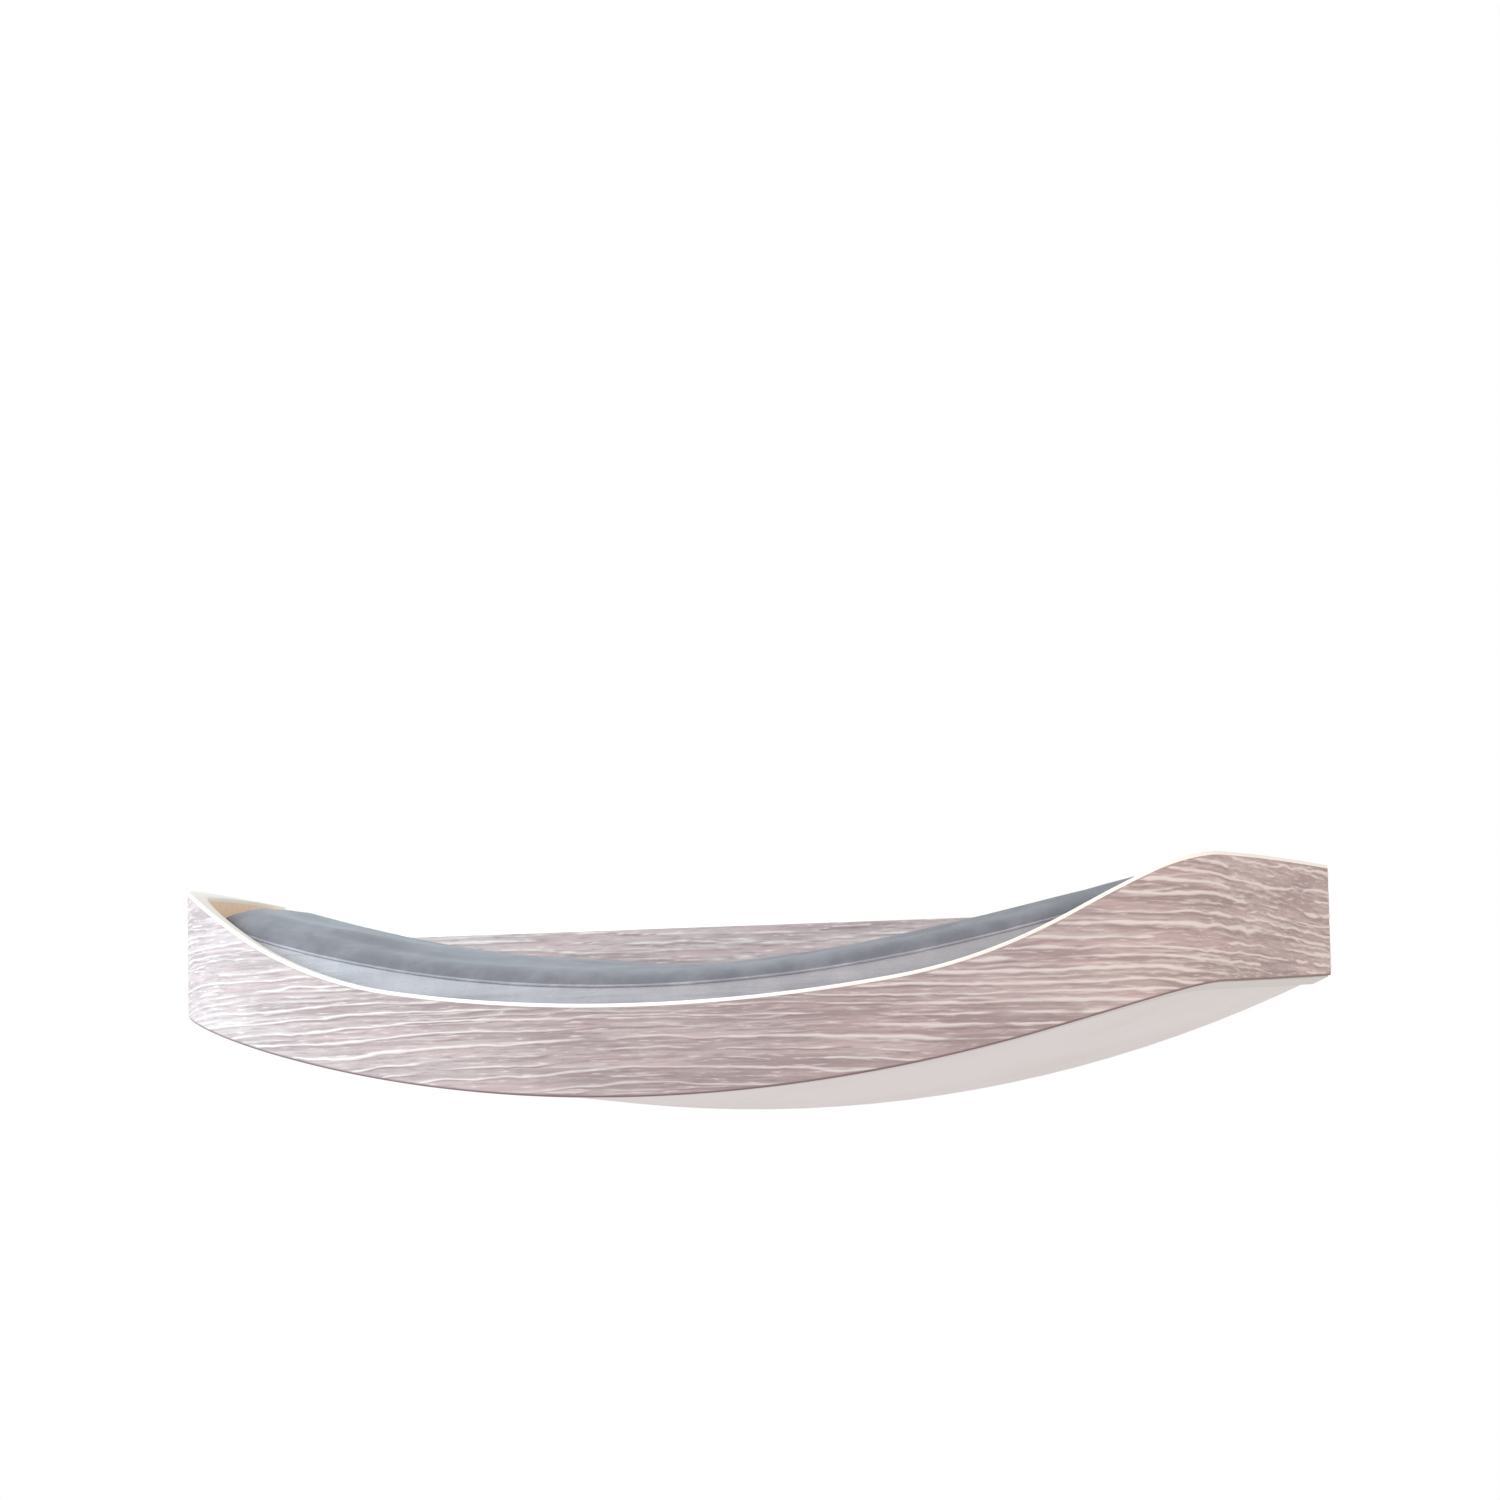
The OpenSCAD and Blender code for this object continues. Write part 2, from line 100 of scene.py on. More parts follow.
def smoothstep(low: float, high: float, value: Array) -> Array:
    """Rise from 0 at low to 1 at high along 3t^2 - 2t^3."""
    t = np.clip((value - low) / (high - low), 0.0, 1.0)
    return t * t * (3.0 - 2.0 * t)


def lattice_noise(x: Array, y: Array, seed: int) -> Array:
    """Smooth value noise: hashed lattice values joined by smoothstep weights.

    Args:
        x, y: coordinates in lattice cells.
        seed: which of the noise fields to use.

    Returns:
        Noise from 0 to 1, in the shape of the coordinates.
    """
    x, y = np.broadcast_arrays(np.asarray(x, float), np.asarray(y, float))
    column, row = np.floor(x).astype(np.int64), np.floor(y).astype(np.int64)
    u, v = x - column, y - row
    u, v = u * u * (3 - 2 * u), v * v * (3 - 2 * v)

    def corner(i: Array, j: Array) -> Array:
        """Hash of a lattice corner.

        Args:
            i, j: the corner's column and row.

        Returns:
            A number from 0 to 1.
        """
        h = (i * STIR_X + j * STIR_Y + seed * STIR_SEED) & WORD
        h = ((h ^ (h >> 13)) * STIR_AGAIN) & WORD
        return ((h ^ (h >> 16)) & TOP_BITS) / float(TOP_BITS)

    low = corner(column, row) * (1 - u) + corner(column + 1, row) * u
    high = corner(column, row + 1) * (1 - u) + corner(column + 1, row + 1) * u
    return low * (1 - v) + high * v


def swing(x: Array, y: Array, seed: int) -> Array:
    """The same noise, from -1 to 1."""
    return lattice_noise(x, y, seed) * 2.0 - 1.0


class Sock:
    """A shader socket that takes part in Python expressions, which add Math nodes."""

    def __init__(self, graph: "Graph", socket: bpy.types.NodeSocket) -> None:
        """Wrap a node's output."""
        self.graph = graph
        self.socket = socket

    def _math(self, operation: str, first: Value, second: Value) -> "Sock":
        """Add one Math node."""
        return self.graph.node("ShaderNodeMath", {"operation": operation}, {0: first, 1: second})

    def __add__(self, other: Value) -> "Sock":
        """Sum."""
        return self._math("ADD", self, other)

    __radd__ = __add__

    def __sub__(self, other: Value) -> "Sock":
        """Difference."""
        return self._math("SUBTRACT", self, other)

    def __rsub__(self, other: Value) -> "Sock":
        """Difference from a number."""
        return self._math("SUBTRACT", other, self)

    def __mul__(self, other: Value) -> "Sock":
        """Product."""
        return self._math("MULTIPLY", self, other)

    __rmul__ = __mul__


class Graph:
    """The node tree of one material, with its output and its surface shader."""

    def __init__(self, name: str) -> None:
        """Start a material with an empty tree.

        Args:
            name: the material's name.
        """
        self.material = bpy.data.materials.new(name)
        self.material.use_nodes = True
        self.tree = self.material.node_tree
        self.tree.nodes.clear()
        self.shader = self.tree.nodes.new("ShaderNodeBsdfPrincipled")
        end = self.tree.nodes.new("ShaderNodeOutputMaterial")
        self.tree.links.new(self.shader.outputs[0], end.inputs[0])

    def feed(self, socket: bpy.types.NodeSocket, value: Value) -> None:
        """Link a socket, or set its constant.

        Args:
            socket: the input.
            value: a link or a constant.
        """
        if isinstance(value, Sock):
            self.tree.links.new(value.socket, socket)
        else:
            socket.default_value = value

    def node(
        self,
        kind: str,
        settings: Mapping[str, Any] | None = None,
        inputs: Mapping[int | str, Value] | None = None,
        out: int | str = 0,
    ) -> Sock:
        """Add any node.

        Args:
            kind: the node's type.
            settings: its properties, set first; "stops" holds a ramp's (place, colour) pairs.
            inputs: values or links of its sockets, by name or number.
            out: which output to give back.

        Returns:
            The chosen output.
        """
        made = self.tree.nodes.new(kind)
        for key, value in (settings or {}).items():
            if key == "stops":
                ramp = made.color_ramp.elements
                while len(ramp) < len(value):
                    ramp.new(1.0)
                for element, (place, colour) in zip(ramp, value):
                    element.position, element.color = place, colour
            else:
                setattr(made, key, value)
        for key, value in (inputs or {}).items():
            self.feed(made.inputs[key], value)
        return Sock(self, made.outputs[out])

    def surface(self, **sockets: Value) -> None:
        """Set the surface shader's sockets, named with underscores for spaces."""
        for key, value in sockets.items():
            self.feed(self.shader.inputs[key.replace("_", " ")], value)

    def place(self, scale: Sequence[float]) -> Sock:
        """Object coordinates through a Mapping node."""
        spot = self.node("ShaderNodeTexCoord", out="Object")
        return self.node("ShaderNodeMapping", None, {"Vector": spot, "Scale": scale})

    def run(self, scale: Sequence[float]) -> Sock:
        """The piece's own UV map, in metres along and up the surface, through a Mapping node."""
        spot = self.node("ShaderNodeUVMap", {"uv_map": "run"})
        return self.node("ShaderNodeMapping", None, {"Vector": spot, "Scale": scale})

    def noise(self, vector: Sock, detail: float, rough: float) -> Sock:
        """Noise from 0 to 1 at a place."""
        inputs = {"Vector": vector, "Scale": 1.0, "Detail": detail, "Roughness": rough}
        return self.node("ShaderNodeTexNoise", None, inputs)

    def mask(self, value: Sock, low: float, high: float) -> Sock:
        """Smooth step of a value between two limits."""
        inputs = {"Value": value, "From Min": low, "From Max": high}
        return self.node("ShaderNodeMapRange", {"interpolation_type": "SMOOTHSTEP"}, inputs)

    def attribute(self, name: str) -> Sock:
        """A number stored on the mesh's points."""
        return self.node("ShaderNodeAttribute", {"attribute_name": name}, out="Fac")

    def mix(self, share: Value, first: Value, second: Value) -> Sock:
        """Mix two colours."""
        return self.node("ShaderNodeMix", {"data_type": "RGBA"}, {0: share, 6: first, 7: second}, 2)

    def bump(self, height: Sock, strength: float, distance: float) -> Sock:
        """A normal from a height, in metres."""
        inputs = {"Strength": strength, "Distance": distance, "Height": height}
        return self.node("ShaderNodeBump", None, inputs)


@dataclass(frozen=True)
class Finish:
    """A finish that dresses a piece. Each kind builds its own nodes."""

    name: str
    slot: str

    def material(self) -> bpy.types.Material:
        """The finish as a material, made once.

        Returns:
            The material.
        """
        found = bpy.data.materials.get(self.name)
        if found:
            return found
        graph = Graph(self.name)
        self.paint(graph)
        return graph.material

    def paint(self, graph: Graph) -> None:
        """Fill the material's nodes."""
        raise NotImplementedError


@dataclass(frozen=True)
class ReliefOak(Finish):
    """Whitewashed oak decor: taupe ground, pale raised streaks, fine pores and a dark cut lower edge."""

    ground: Colour = srgb(184, 166, 165)
    # shade: darker grain and pores, and also the painted shadow lines under the streaks.
    shade: Colour = srgb(160, 140, 140)
    dark: Colour = srgb(140, 118, 118)
    blush: Colour = srgb(192, 166, 166)
    wash: Colour = srgb(200, 185, 183)
    crest: Colour = srgb(224, 213, 209)
    cut: Colour = srgb(132, 108, 112)

    def paint(self, graph: Graph) -> None:
        """Streaks, tone (with painted shadow lines) and cut edge come from the mesh; pores and fibres from
        noise along the run.

        Args:
            graph: the material's nodes.
        """
        fibre = graph.noise(graph.run((60, 900, 1)), 5.0, 0.6)
        pores = graph.mask(graph.noise(graph.run((110, 2600, 1)), 2.0, 0.5), 0.62, 0.74)
        cloud = graph.noise(graph.run((11, 45, 1)), 3.0, 0.5)
        hair = graph.noise(graph.run((22, 620, 1)), 3.0, 0.5)
        flake = graph.noise(graph.run((95, 1050, 1)), 3.0, 0.55)
        tone = graph.attribute("tone")
        streak = graph.attribute("streak")
        # Low tone turns the ground to the shade colour: darker grain, and the painted shadow lines under the
        # streaks.
        colour = graph.mix(graph.mask(tone + (fibre - 0.5) * 0.5, 0.25, 0.8), self.shade, self.ground)
        colour = graph.mix(graph.mask(cloud + (fibre - 0.5) * 0.3, 0.42, 0.72) * 0.5, colour, self.wash)
        colour = graph.mix(graph.mask(hair, 0.52, 0.68) * 0.5, colour, self.wash)
        colour = graph.mix(graph.mask(hair, 0.47, 0.33) * 0.45 + pores * 0.3, colour, self.shade)
        warm = graph.noise(graph.run((14, 130, 1)), 3.0, 0.5)
        colour = graph.mix(graph.mask(warm, 0.48, 0.66) * 0.6, colour, self.blush)
        colour = graph.mix(graph.mask(flake, 0.44, 0.32) * 0.5, colour, self.dark)
        colour = graph.mix(graph.mask(flake, 0.56, 0.7) * 0.6, colour, self.crest)
        broken = streak * (flake * 0.8 + 0.65) + (fibre - 0.5) * 0.25
        colour = graph.mix(graph.mask(broken, 0.15, 0.9) * 0.88, colour, self.crest)
        colour = graph.mix(graph.attribute("cut"), colour, self.cut)
        graph.surface(Base_Color=colour, Roughness=0.5 + fibre * 0.2, Specular_IOR_Level=0.35)
        graph.surface(Normal=graph.bump(fibre * 0.6 - pores * 0.5, 0.35, 0.0004))


@dataclass(frozen=True)
class Plywood(Finish):
    """Bare birch plywood: tan face veneer with a fine grain, and layers on the cut edges."""

    ground: Colour = srgb(248, 225, 198)
    late: Colour = srgb(242, 211, 180)
    glue: Colour = srgb(120, 84, 58)
    seal: Colour = srgb(226, 217, 210)
    layered: bool = False

    def paint(self, graph: Graph) -> None:
        """Long fibres along x, with the veneers striped by their depth where the piece has it.

        Args:
            graph: the material's nodes.
        """
        fibre = graph.noise(graph.place((9, 120, 260)), 6.0, 0.6)
        figure = graph.noise(graph.place((3, 14, 40)), 3.0, 0.5)
        colour = graph.mix(graph.mask(fibre * 0.6 + figure * 0.4, 0.4, 0.66), self.ground, self.late)
        if self.layered:
            depth = graph.attribute("layer")
            wave = graph.node("ShaderNodeMath", {"operation": "PINGPONG"}, {0: depth, 1: 1.0})
            colour = graph.mix(graph.mask(wave, 0.45, 0.75) * 0.55, colour, self.glue)
            colour = graph.mix(graph.attribute("sealed"), colour, self.seal)
        graph.surface(Base_Color=colour, Roughness=0.42 + fibre * 0.2, Specular_IOR_Level=0.4)
        graph.surface(Normal=graph.bump(fibre, 0.25, 0.0003))


@dataclass(frozen=True)
class Softwood(Finish):
    """Planed wood with its grain upright: year rings of early and late wood."""

    early: Colour = srgb(226, 192, 148)
    late: Colour = srgb(198, 152, 104)
    rings: float = 80.0

    def paint(self, graph: Graph) -> None:
        """Rings about an upright axis, bent a little, with a fine fibre over them.

        Args:
            graph: the material's nodes.
        """
        settings = {"wave_type": "RINGS", "rings_direction": "Z"}
        inputs = {"Vector": graph.place((1, 1, 0.12)), "Scale": self.rings, "Distortion": 3.0}
        bands = graph.node("ShaderNodeTexWave", settings, inputs | {"Detail Scale": 0.6})
        fibre = graph.noise(graph.place((900, 900, 60)), 4.0, 0.6)
        colour = graph.mix(graph.mask(bands + (fibre - 0.5) * 0.5, 0.45, 0.95) * 0.8, self.early, self.late)
        graph.surface(Base_Color=colour, Roughness=0.5 + fibre * 0.2)
        graph.surface(Normal=graph.bump(fibre + bands, 0.2, 0.0003))


@dataclass(frozen=True)
class PlainBoard(Finish):
    """A smooth coloured board or edge band with a faint mottle and a fine moulded skin."""

    colour: Colour = srgb(244, 240, 234)
    mottle: Colour = srgb(232, 226, 218)
    rough: float = 0.42
    grain: float = 900.0

    def paint(self, graph: Graph) -> None:
        """Two nearly equal colours mixed by a broad noise, and a fine skin in the bump.

        Args:
            graph: the material's nodes.
        """
        broad = graph.noise(graph.place((9, 9, 9)), 3.0, 0.5)
        skin = graph.noise(graph.place((self.grain,) * 3), 2.0, 0.5)
        colour = graph.mix(graph.mask(broad, 0.35, 0.7), self.colour, self.mottle)
        graph.surface(Base_Color=colour, Roughness=self.rough + (broad - 0.5) * 0.12 + (skin - 0.5) * 0.1)
        graph.surface(Normal=graph.bump(skin, 0.12, 0.0002))


@dataclass(frozen=True)
class Velvet(Finish):
    """Short pile velvet: brushed patches, a fine nap and a soft sheen at grazing angles."""

    nap: Colour = srgb(112, 109, 115)
    brushed: Colour = srgb(138, 135, 140)
    deep: Colour = srgb(83, 80, 86)
    sheen: float = 0.3
    folds: float = 0.0

    def paint(self, graph: Graph) -> None:
        """Patches of brushed pile over a fine nap, with long level folds where the cloth lies slack.

        Args:
            graph: the material's nodes.
        """
        patch = graph.noise(graph.place((62, 44, 44)), 3.0, 0.5)
        broad = graph.noise(graph.place((12, 15, 12)), 2.0, 0.5)
        nap = graph.noise(graph.place((1500,) * 3), 2.0, 0.6)
        crush = graph.noise(graph.place((230, 160, 160)), 3.0, 0.55)
        combed = graph.mask(patch + (crush - 0.5) * 0.35, 0.38, 0.7)
        colour = graph.mix(combed * 0.45, self.nap, self.brushed)
        leaning = graph.mask(broad - (patch - 0.5) * 0.5, 0.4, 0.78)
        colour = graph.mix(leaning * 0.25, colour, self.deep)
        colour = graph.mix(graph.mask(nap, 0.5, 0.8) * 0.35, colour, self.deep)
        graph.surface(Base_Color=colour, Roughness=0.82 + nap * 0.15, Specular_IOR_Level=0.2)
        graph.surface(Sheen_Weight=self.sheen, Sheen_Roughness=0.4, Sheen_Tint=srgb(226, 228, 234))
        fold = graph.noise(graph.place((7, 7, 130)), 3.0, 0.5)
        graph.surface(Normal=graph.bump(nap + patch * 0.6 + crush * 0.8 + fold * self.folds, 0.4, 0.0006))


@dataclass(frozen=True)
class Woven(Finish):
    """Plain woven cloth: two crossing threads."""

    thread: Colour = srgb(64, 64, 70)
    gap: Colour = srgb(34, 34, 38)
    scale: float = 260.0

    def paint(self, graph: Graph) -> None:
        """Warp and weft waves along x and across it, broken up by a little noise.

        Args:
            graph: the material's nodes.
        """
        inputs = {"Vector": graph.place((1, 1, 1)), "Scale": self.scale}
        across = graph.node("ShaderNodeTexWave", {"bands_direction": "X"}, inputs)
        along = graph.node("ShaderNodeTexWave", {"bands_direction": "Z"}, inputs)
        fuzz = graph.noise(graph.place((700,) * 3), 3.0, 0.6)
        height = across * along
        colour = graph.mix(graph.mask(height + (fuzz - 0.5) * 0.4, 0.05, 0.6), self.gap, self.thread)
        graph.surface(Base_Color=colour, Roughness=0.85, Specular_IOR_Level=0.2)
        graph.surface(Normal=graph.bump(height + fuzz * 0.4, 0.5, 0.0003))


@dataclass(frozen=True)
class Metal(Finish):
    """Plated metal: fine brush marks and dull spots."""

    colour: Colour = srgb(188, 188, 190)
    dull: Colour = srgb(140, 138, 136)
    rough: float = 0.28

    def paint(self, graph: Graph) -> None:
        """Brush marks along x and cloudy spots in the colour and the gloss.

        Args:
            graph: the material's nodes.
        """
        marks = graph.noise(graph.place((200, 4000, 4000)), 3.0, 0.6)
        spots = graph.mask(graph.noise(graph.place((500,) * 3), 3.0, 0.6), 0.5, 0.75)
        graph.surface(Base_Color=graph.mix(spots * 0.5, self.colour, self.dull), Metallic=1.0)
        graph.surface(Roughness=self.rough + marks * 0.15 + spots * 0.15)
        graph.surface(Normal=graph.bump(marks, 0.15, 0.0001))


class Looks(Enum):
    """The finishes of the shelf's pieces."""

    OAK = ReliefOak("oak_relief", "oak_laminate")
    PLY = Plywood("birch_ply", "plywood")
    PLY_EDGE = Plywood("birch_ply_layers", "plywood", layered=True)
    EDGING = PlainBoard("cream_edging", "edging", srgb(250, 246, 240), srgb(242, 236, 228), 0.36)
    WHITE = PlainBoard(
        "white_melamine",
        "white_laminate",
        colour=srgb(241, 230, 226),
        mottle=srgb(235, 222, 217),
        rough=0.5,
        grain=500.0,
    )
    BLOCK = Softwood("block_pine", "block_wood")
    DOWEL = Softwood("dowel_beech", "dowel_wood", srgb(226, 190, 148), srgb(200, 156, 112))
    ZINC = Metal("zinc_screw", "screw_steel")
    NICKEL = Metal("nickel_zip", "zip_metal", srgb(170, 170, 172), srgb(120, 119, 118), 0.22)
    VELVET = Velvet("slate_velvet", "velvet")
    SIDE = Velvet(
        "side_velvet",
        "side_cloth",
        nap=srgb(167, 163, 168),
        brushed=srgb(181, 177, 181),
        deep=srgb(147, 143, 148),
        sheen=0.25,
        folds=9.0,
    )
    PIPING = Velvet(
        "piping_velvet",
        "piping_cloth",
        nap=srgb(150, 146, 156),
        brushed=srgb(196, 186, 190),
        deep=srgb(96, 92, 104),
        sheen=0.2,
    )
    LINING = Woven("woven_lining", "lining")
    TAPE = Woven("zip_tape_weave", "zip_cloth", srgb(56, 57, 62), srgb(26, 26, 29), 350.0)
    STRIP = Woven("loop_tape", "strip_tape", srgb(42, 42, 45), srgb(14, 14, 16), 180.0)
    COIL = PlainBoard("coil_nylon", "zip_nylon", srgb(44, 44, 47), srgb(34, 34, 37), 0.35)


@dataclass(frozen=True)
class ShelfForm:
    """The shelf's curves: its plan, its rim and its base."""

    width: float = 500.0
    depth: float = 270.0
    end_slant: float = 8.0
    corner_r: float = 98.0
    front_turn: float = 19.0
    rim_mid: float = 36.0
    bowl_r: float = 655.0
    bowl_turn: float = 9.3
    sweep_r: float = 206.0
    rise_turn: float = 31.0
    rise_run: float = 30.0
    crown_r: float = 113.0
    skirt: float = 2.0
    base_rise: float = 55.2
    base_t: float = 9.0
    band_t: float = 8.0
    laminate_t: float = 0.8
    edging_t: float = 1.5
    edging_ease: float = 0.55
    panel_t: float = 14.0
    panel_h: float = 85.0
    groove_d: float = 3.0
    glue_gap: float = 0.1
    hole_h: float = 58.0

    @property
    def wall_t(self) -> float:
        """Thickness of the band with its laminate."""
        return self.band_t + self.laminate_t

    @property
    def base_r(self) -> float:
        """Radius of the underside's arc over the width."""
        return ((self.width / 2) ** 2 + self.base_rise**2) / (2 * self.base_rise)

    @property
    def front_r(self) -> float:
        """Radius of the bowed front, from the tangents it shares with the corners.

        Returns:
            The radius.
        """
        slant, turn = math.radians(self.end_slant), math.radians(self.front_turn)
        bow_x = self.width / 2 - self.corner_r * (math.cos(slant) - math.sin(turn))
        bow_y = self.depth - self.corner_r * (math.cos(turn) - math.sin(slant))
        det = math.sin(turn) * math.cos(slant) - math.sin(slant) * (1 - math.cos(turn))
        return (bow_x * math.cos(slant) - bow_y * math.sin(slant)) / det

    @property
    def corner_c(self) -> tuple[float, float]:
        """Centre of the right corner's arc.

        Returns:
            x and y.
        """
        turn = math.radians(self.front_turn)
        reach = self.front_r - self.corner_r
        return reach * math.sin(turn), self.front_r - self.depth - reach * math.cos(turn)

    @property
    def end_reach(self) -> float:
        """Distance of the straight end's outer face from the origin, along its own normal."""
        end = math.radians(90 - self.end_slant)
        return self.corner_c[0] * math.sin(end) - self.corner_c[1] * math.cos(end) + self.corner_r

    def straight(self, inset: Array | float) -> Array:
        """Length of the straight end at an inset, from the corner to the rear."""
        end = math.radians(90 - self.end_slant)
        return -(self.corner_c[1] - (self.corner_r - np.asarray(inset)) * math.cos(end)) / math.sin(end)

    @property
    def half_run(self) -> float:
        """Length of the outer face from its middle to its rear end."""
        turn, end = math.radians(self.front_turn), math.radians(90 - self.end_slant)
        return self.front_r * turn + self.corner_r * (end - turn) + float(self.straight(0.0))

    def plan(self, along: Array, inset: Array | float) -> tuple[Array, Array]:
        """Plan point at a signed run along the outer face, moved in by an inset.

        The face is a front arc, a corner arc and a straight end, on shared tangents.

        Args:
            along: run from the middle, negative to the left.
            inset: distance in from the outer face.

        Returns:
            x and y.
        """
        turn, end = math.radians(self.front_turn), math.radians(90 - self.end_slant)
        bow, bend = self.front_r * turn, self.corner_r * (end - turn)
        along, inset = np.broadcast_arrays(np.asarray(along, float), np.asarray(inset, float))
        run = np.abs(along)
        in_bow = run < bow
        angle = np.where(in_bow, run / self.front_r, turn + np.clip(run - bow, 0, bend) / self.corner_r)
        radius = np.where(in_bow, self.front_r, self.corner_r) - inset
        x = np.where(in_bow, 0.0, self.corner_c[0]) + radius * np.sin(angle)
        y = np.where(in_bow, self.front_r - self.depth, self.corner_c[1]) - radius * np.cos(angle)
        share = np.clip(run - bow - bend, 0, None) / float(self.straight(0.0)) * self.straight(inset)
        return np.where(along < 0, -1.0, 1.0) * (x + share * math.cos(end)), y + share * math.sin(end)

    def rim(self, x: Array, lower: float = 0.0) -> Array:
        """Height of the rim at x: bowl, sweep, straight climb and crown on shared tangents.

        Args:
            x: place across the shelf.
            lower: how far the curve is offset downwards.

        Returns:
            z of the rim.
        """
        x = np.abs(x)
        bowl, rise = math.radians(self.bowl_turn), math.radians(self.rise_turn)
        bowl_z = self.rim_mid + self.bowl_r
        sweep_x = (self.bowl_r - self.sweep_r) * math.sin(bowl)
        sweep_z = bowl_z - (self.bowl_r - self.sweep_r) * math.cos(bowl)
        top_x = sweep_x + self.sweep_r * math.sin(rise) + self.rise_run * math.cos(rise)
        top_z = sweep_z - self.sweep_r * math.cos(rise) + self.rise_run * math.sin(rise)
        crown_x, crown_z = top_x + self.crown_r * math.sin(rise), top_z - self.crown_r * math.cos(rise)
        bowl_r, sweep_r, crown_r = self.bowl_r + lower, self.sweep_r + lower, self.crown_r - lower
        climb_x = sweep_x + sweep_r * math.sin(rise)
        heights = [
            bowl_z - np.sqrt(np.maximum(bowl_r**2 - x**2, 0)),
            sweep_z - np.sqrt(np.maximum(sweep_r**2 - (x - sweep_x) ** 2, 0)),
            sweep_z - sweep_r * math.cos(rise) + (x - climb_x) * math.tan(rise),
        ]
        crown = crown_z + np.sqrt(np.maximum(crown_r**2 - (np.minimum(x, crown_x) - crown_x) ** 2, 0))
        limits = [x < bowl_r * math.sin(bowl), x < climb_x, x < crown_x - crown_r * math.sin(rise)]
        return np.select(limits, heights, crown)

    def arc(self, x: Array, up: float) -> Array:
        """Height of the base's section at x, a distance up from the underside towards the arc's centre."""
        return self.base_r - np.sqrt((self.base_r - up) ** 2 - np.asarray(x) ** 2)

    def strip_profile(self, width: float, flats: Sequence[float]) -> tuple[Array, Array]:
        """Profile of an edge strip: square at its foot, with both top edges rounded by quarter circles.

        Args:
            width: the strip's width.
            flats: shares of the width at which its flat top has points.

        Returns:
            Columns of distances across it and of heights above its foot.
        """
        ease, thick = self.edging_ease, self.edging_t
        bend = np.radians(np.linspace(0, 90, 5))
        rise = [(ease * (1 - math.cos(a)), thick - ease * (1 - math.sin(a))) for a in bend]
        fall = [(width - across, up) for across, up in reversed(rise)]
        flat = [(width * share, thick) for share in flats]
        profile = np.array([(0.0, 0.0), *rise, *flat, *fall, (width, 0.0)])
        return profile[:, :1], profile[:, 1:]


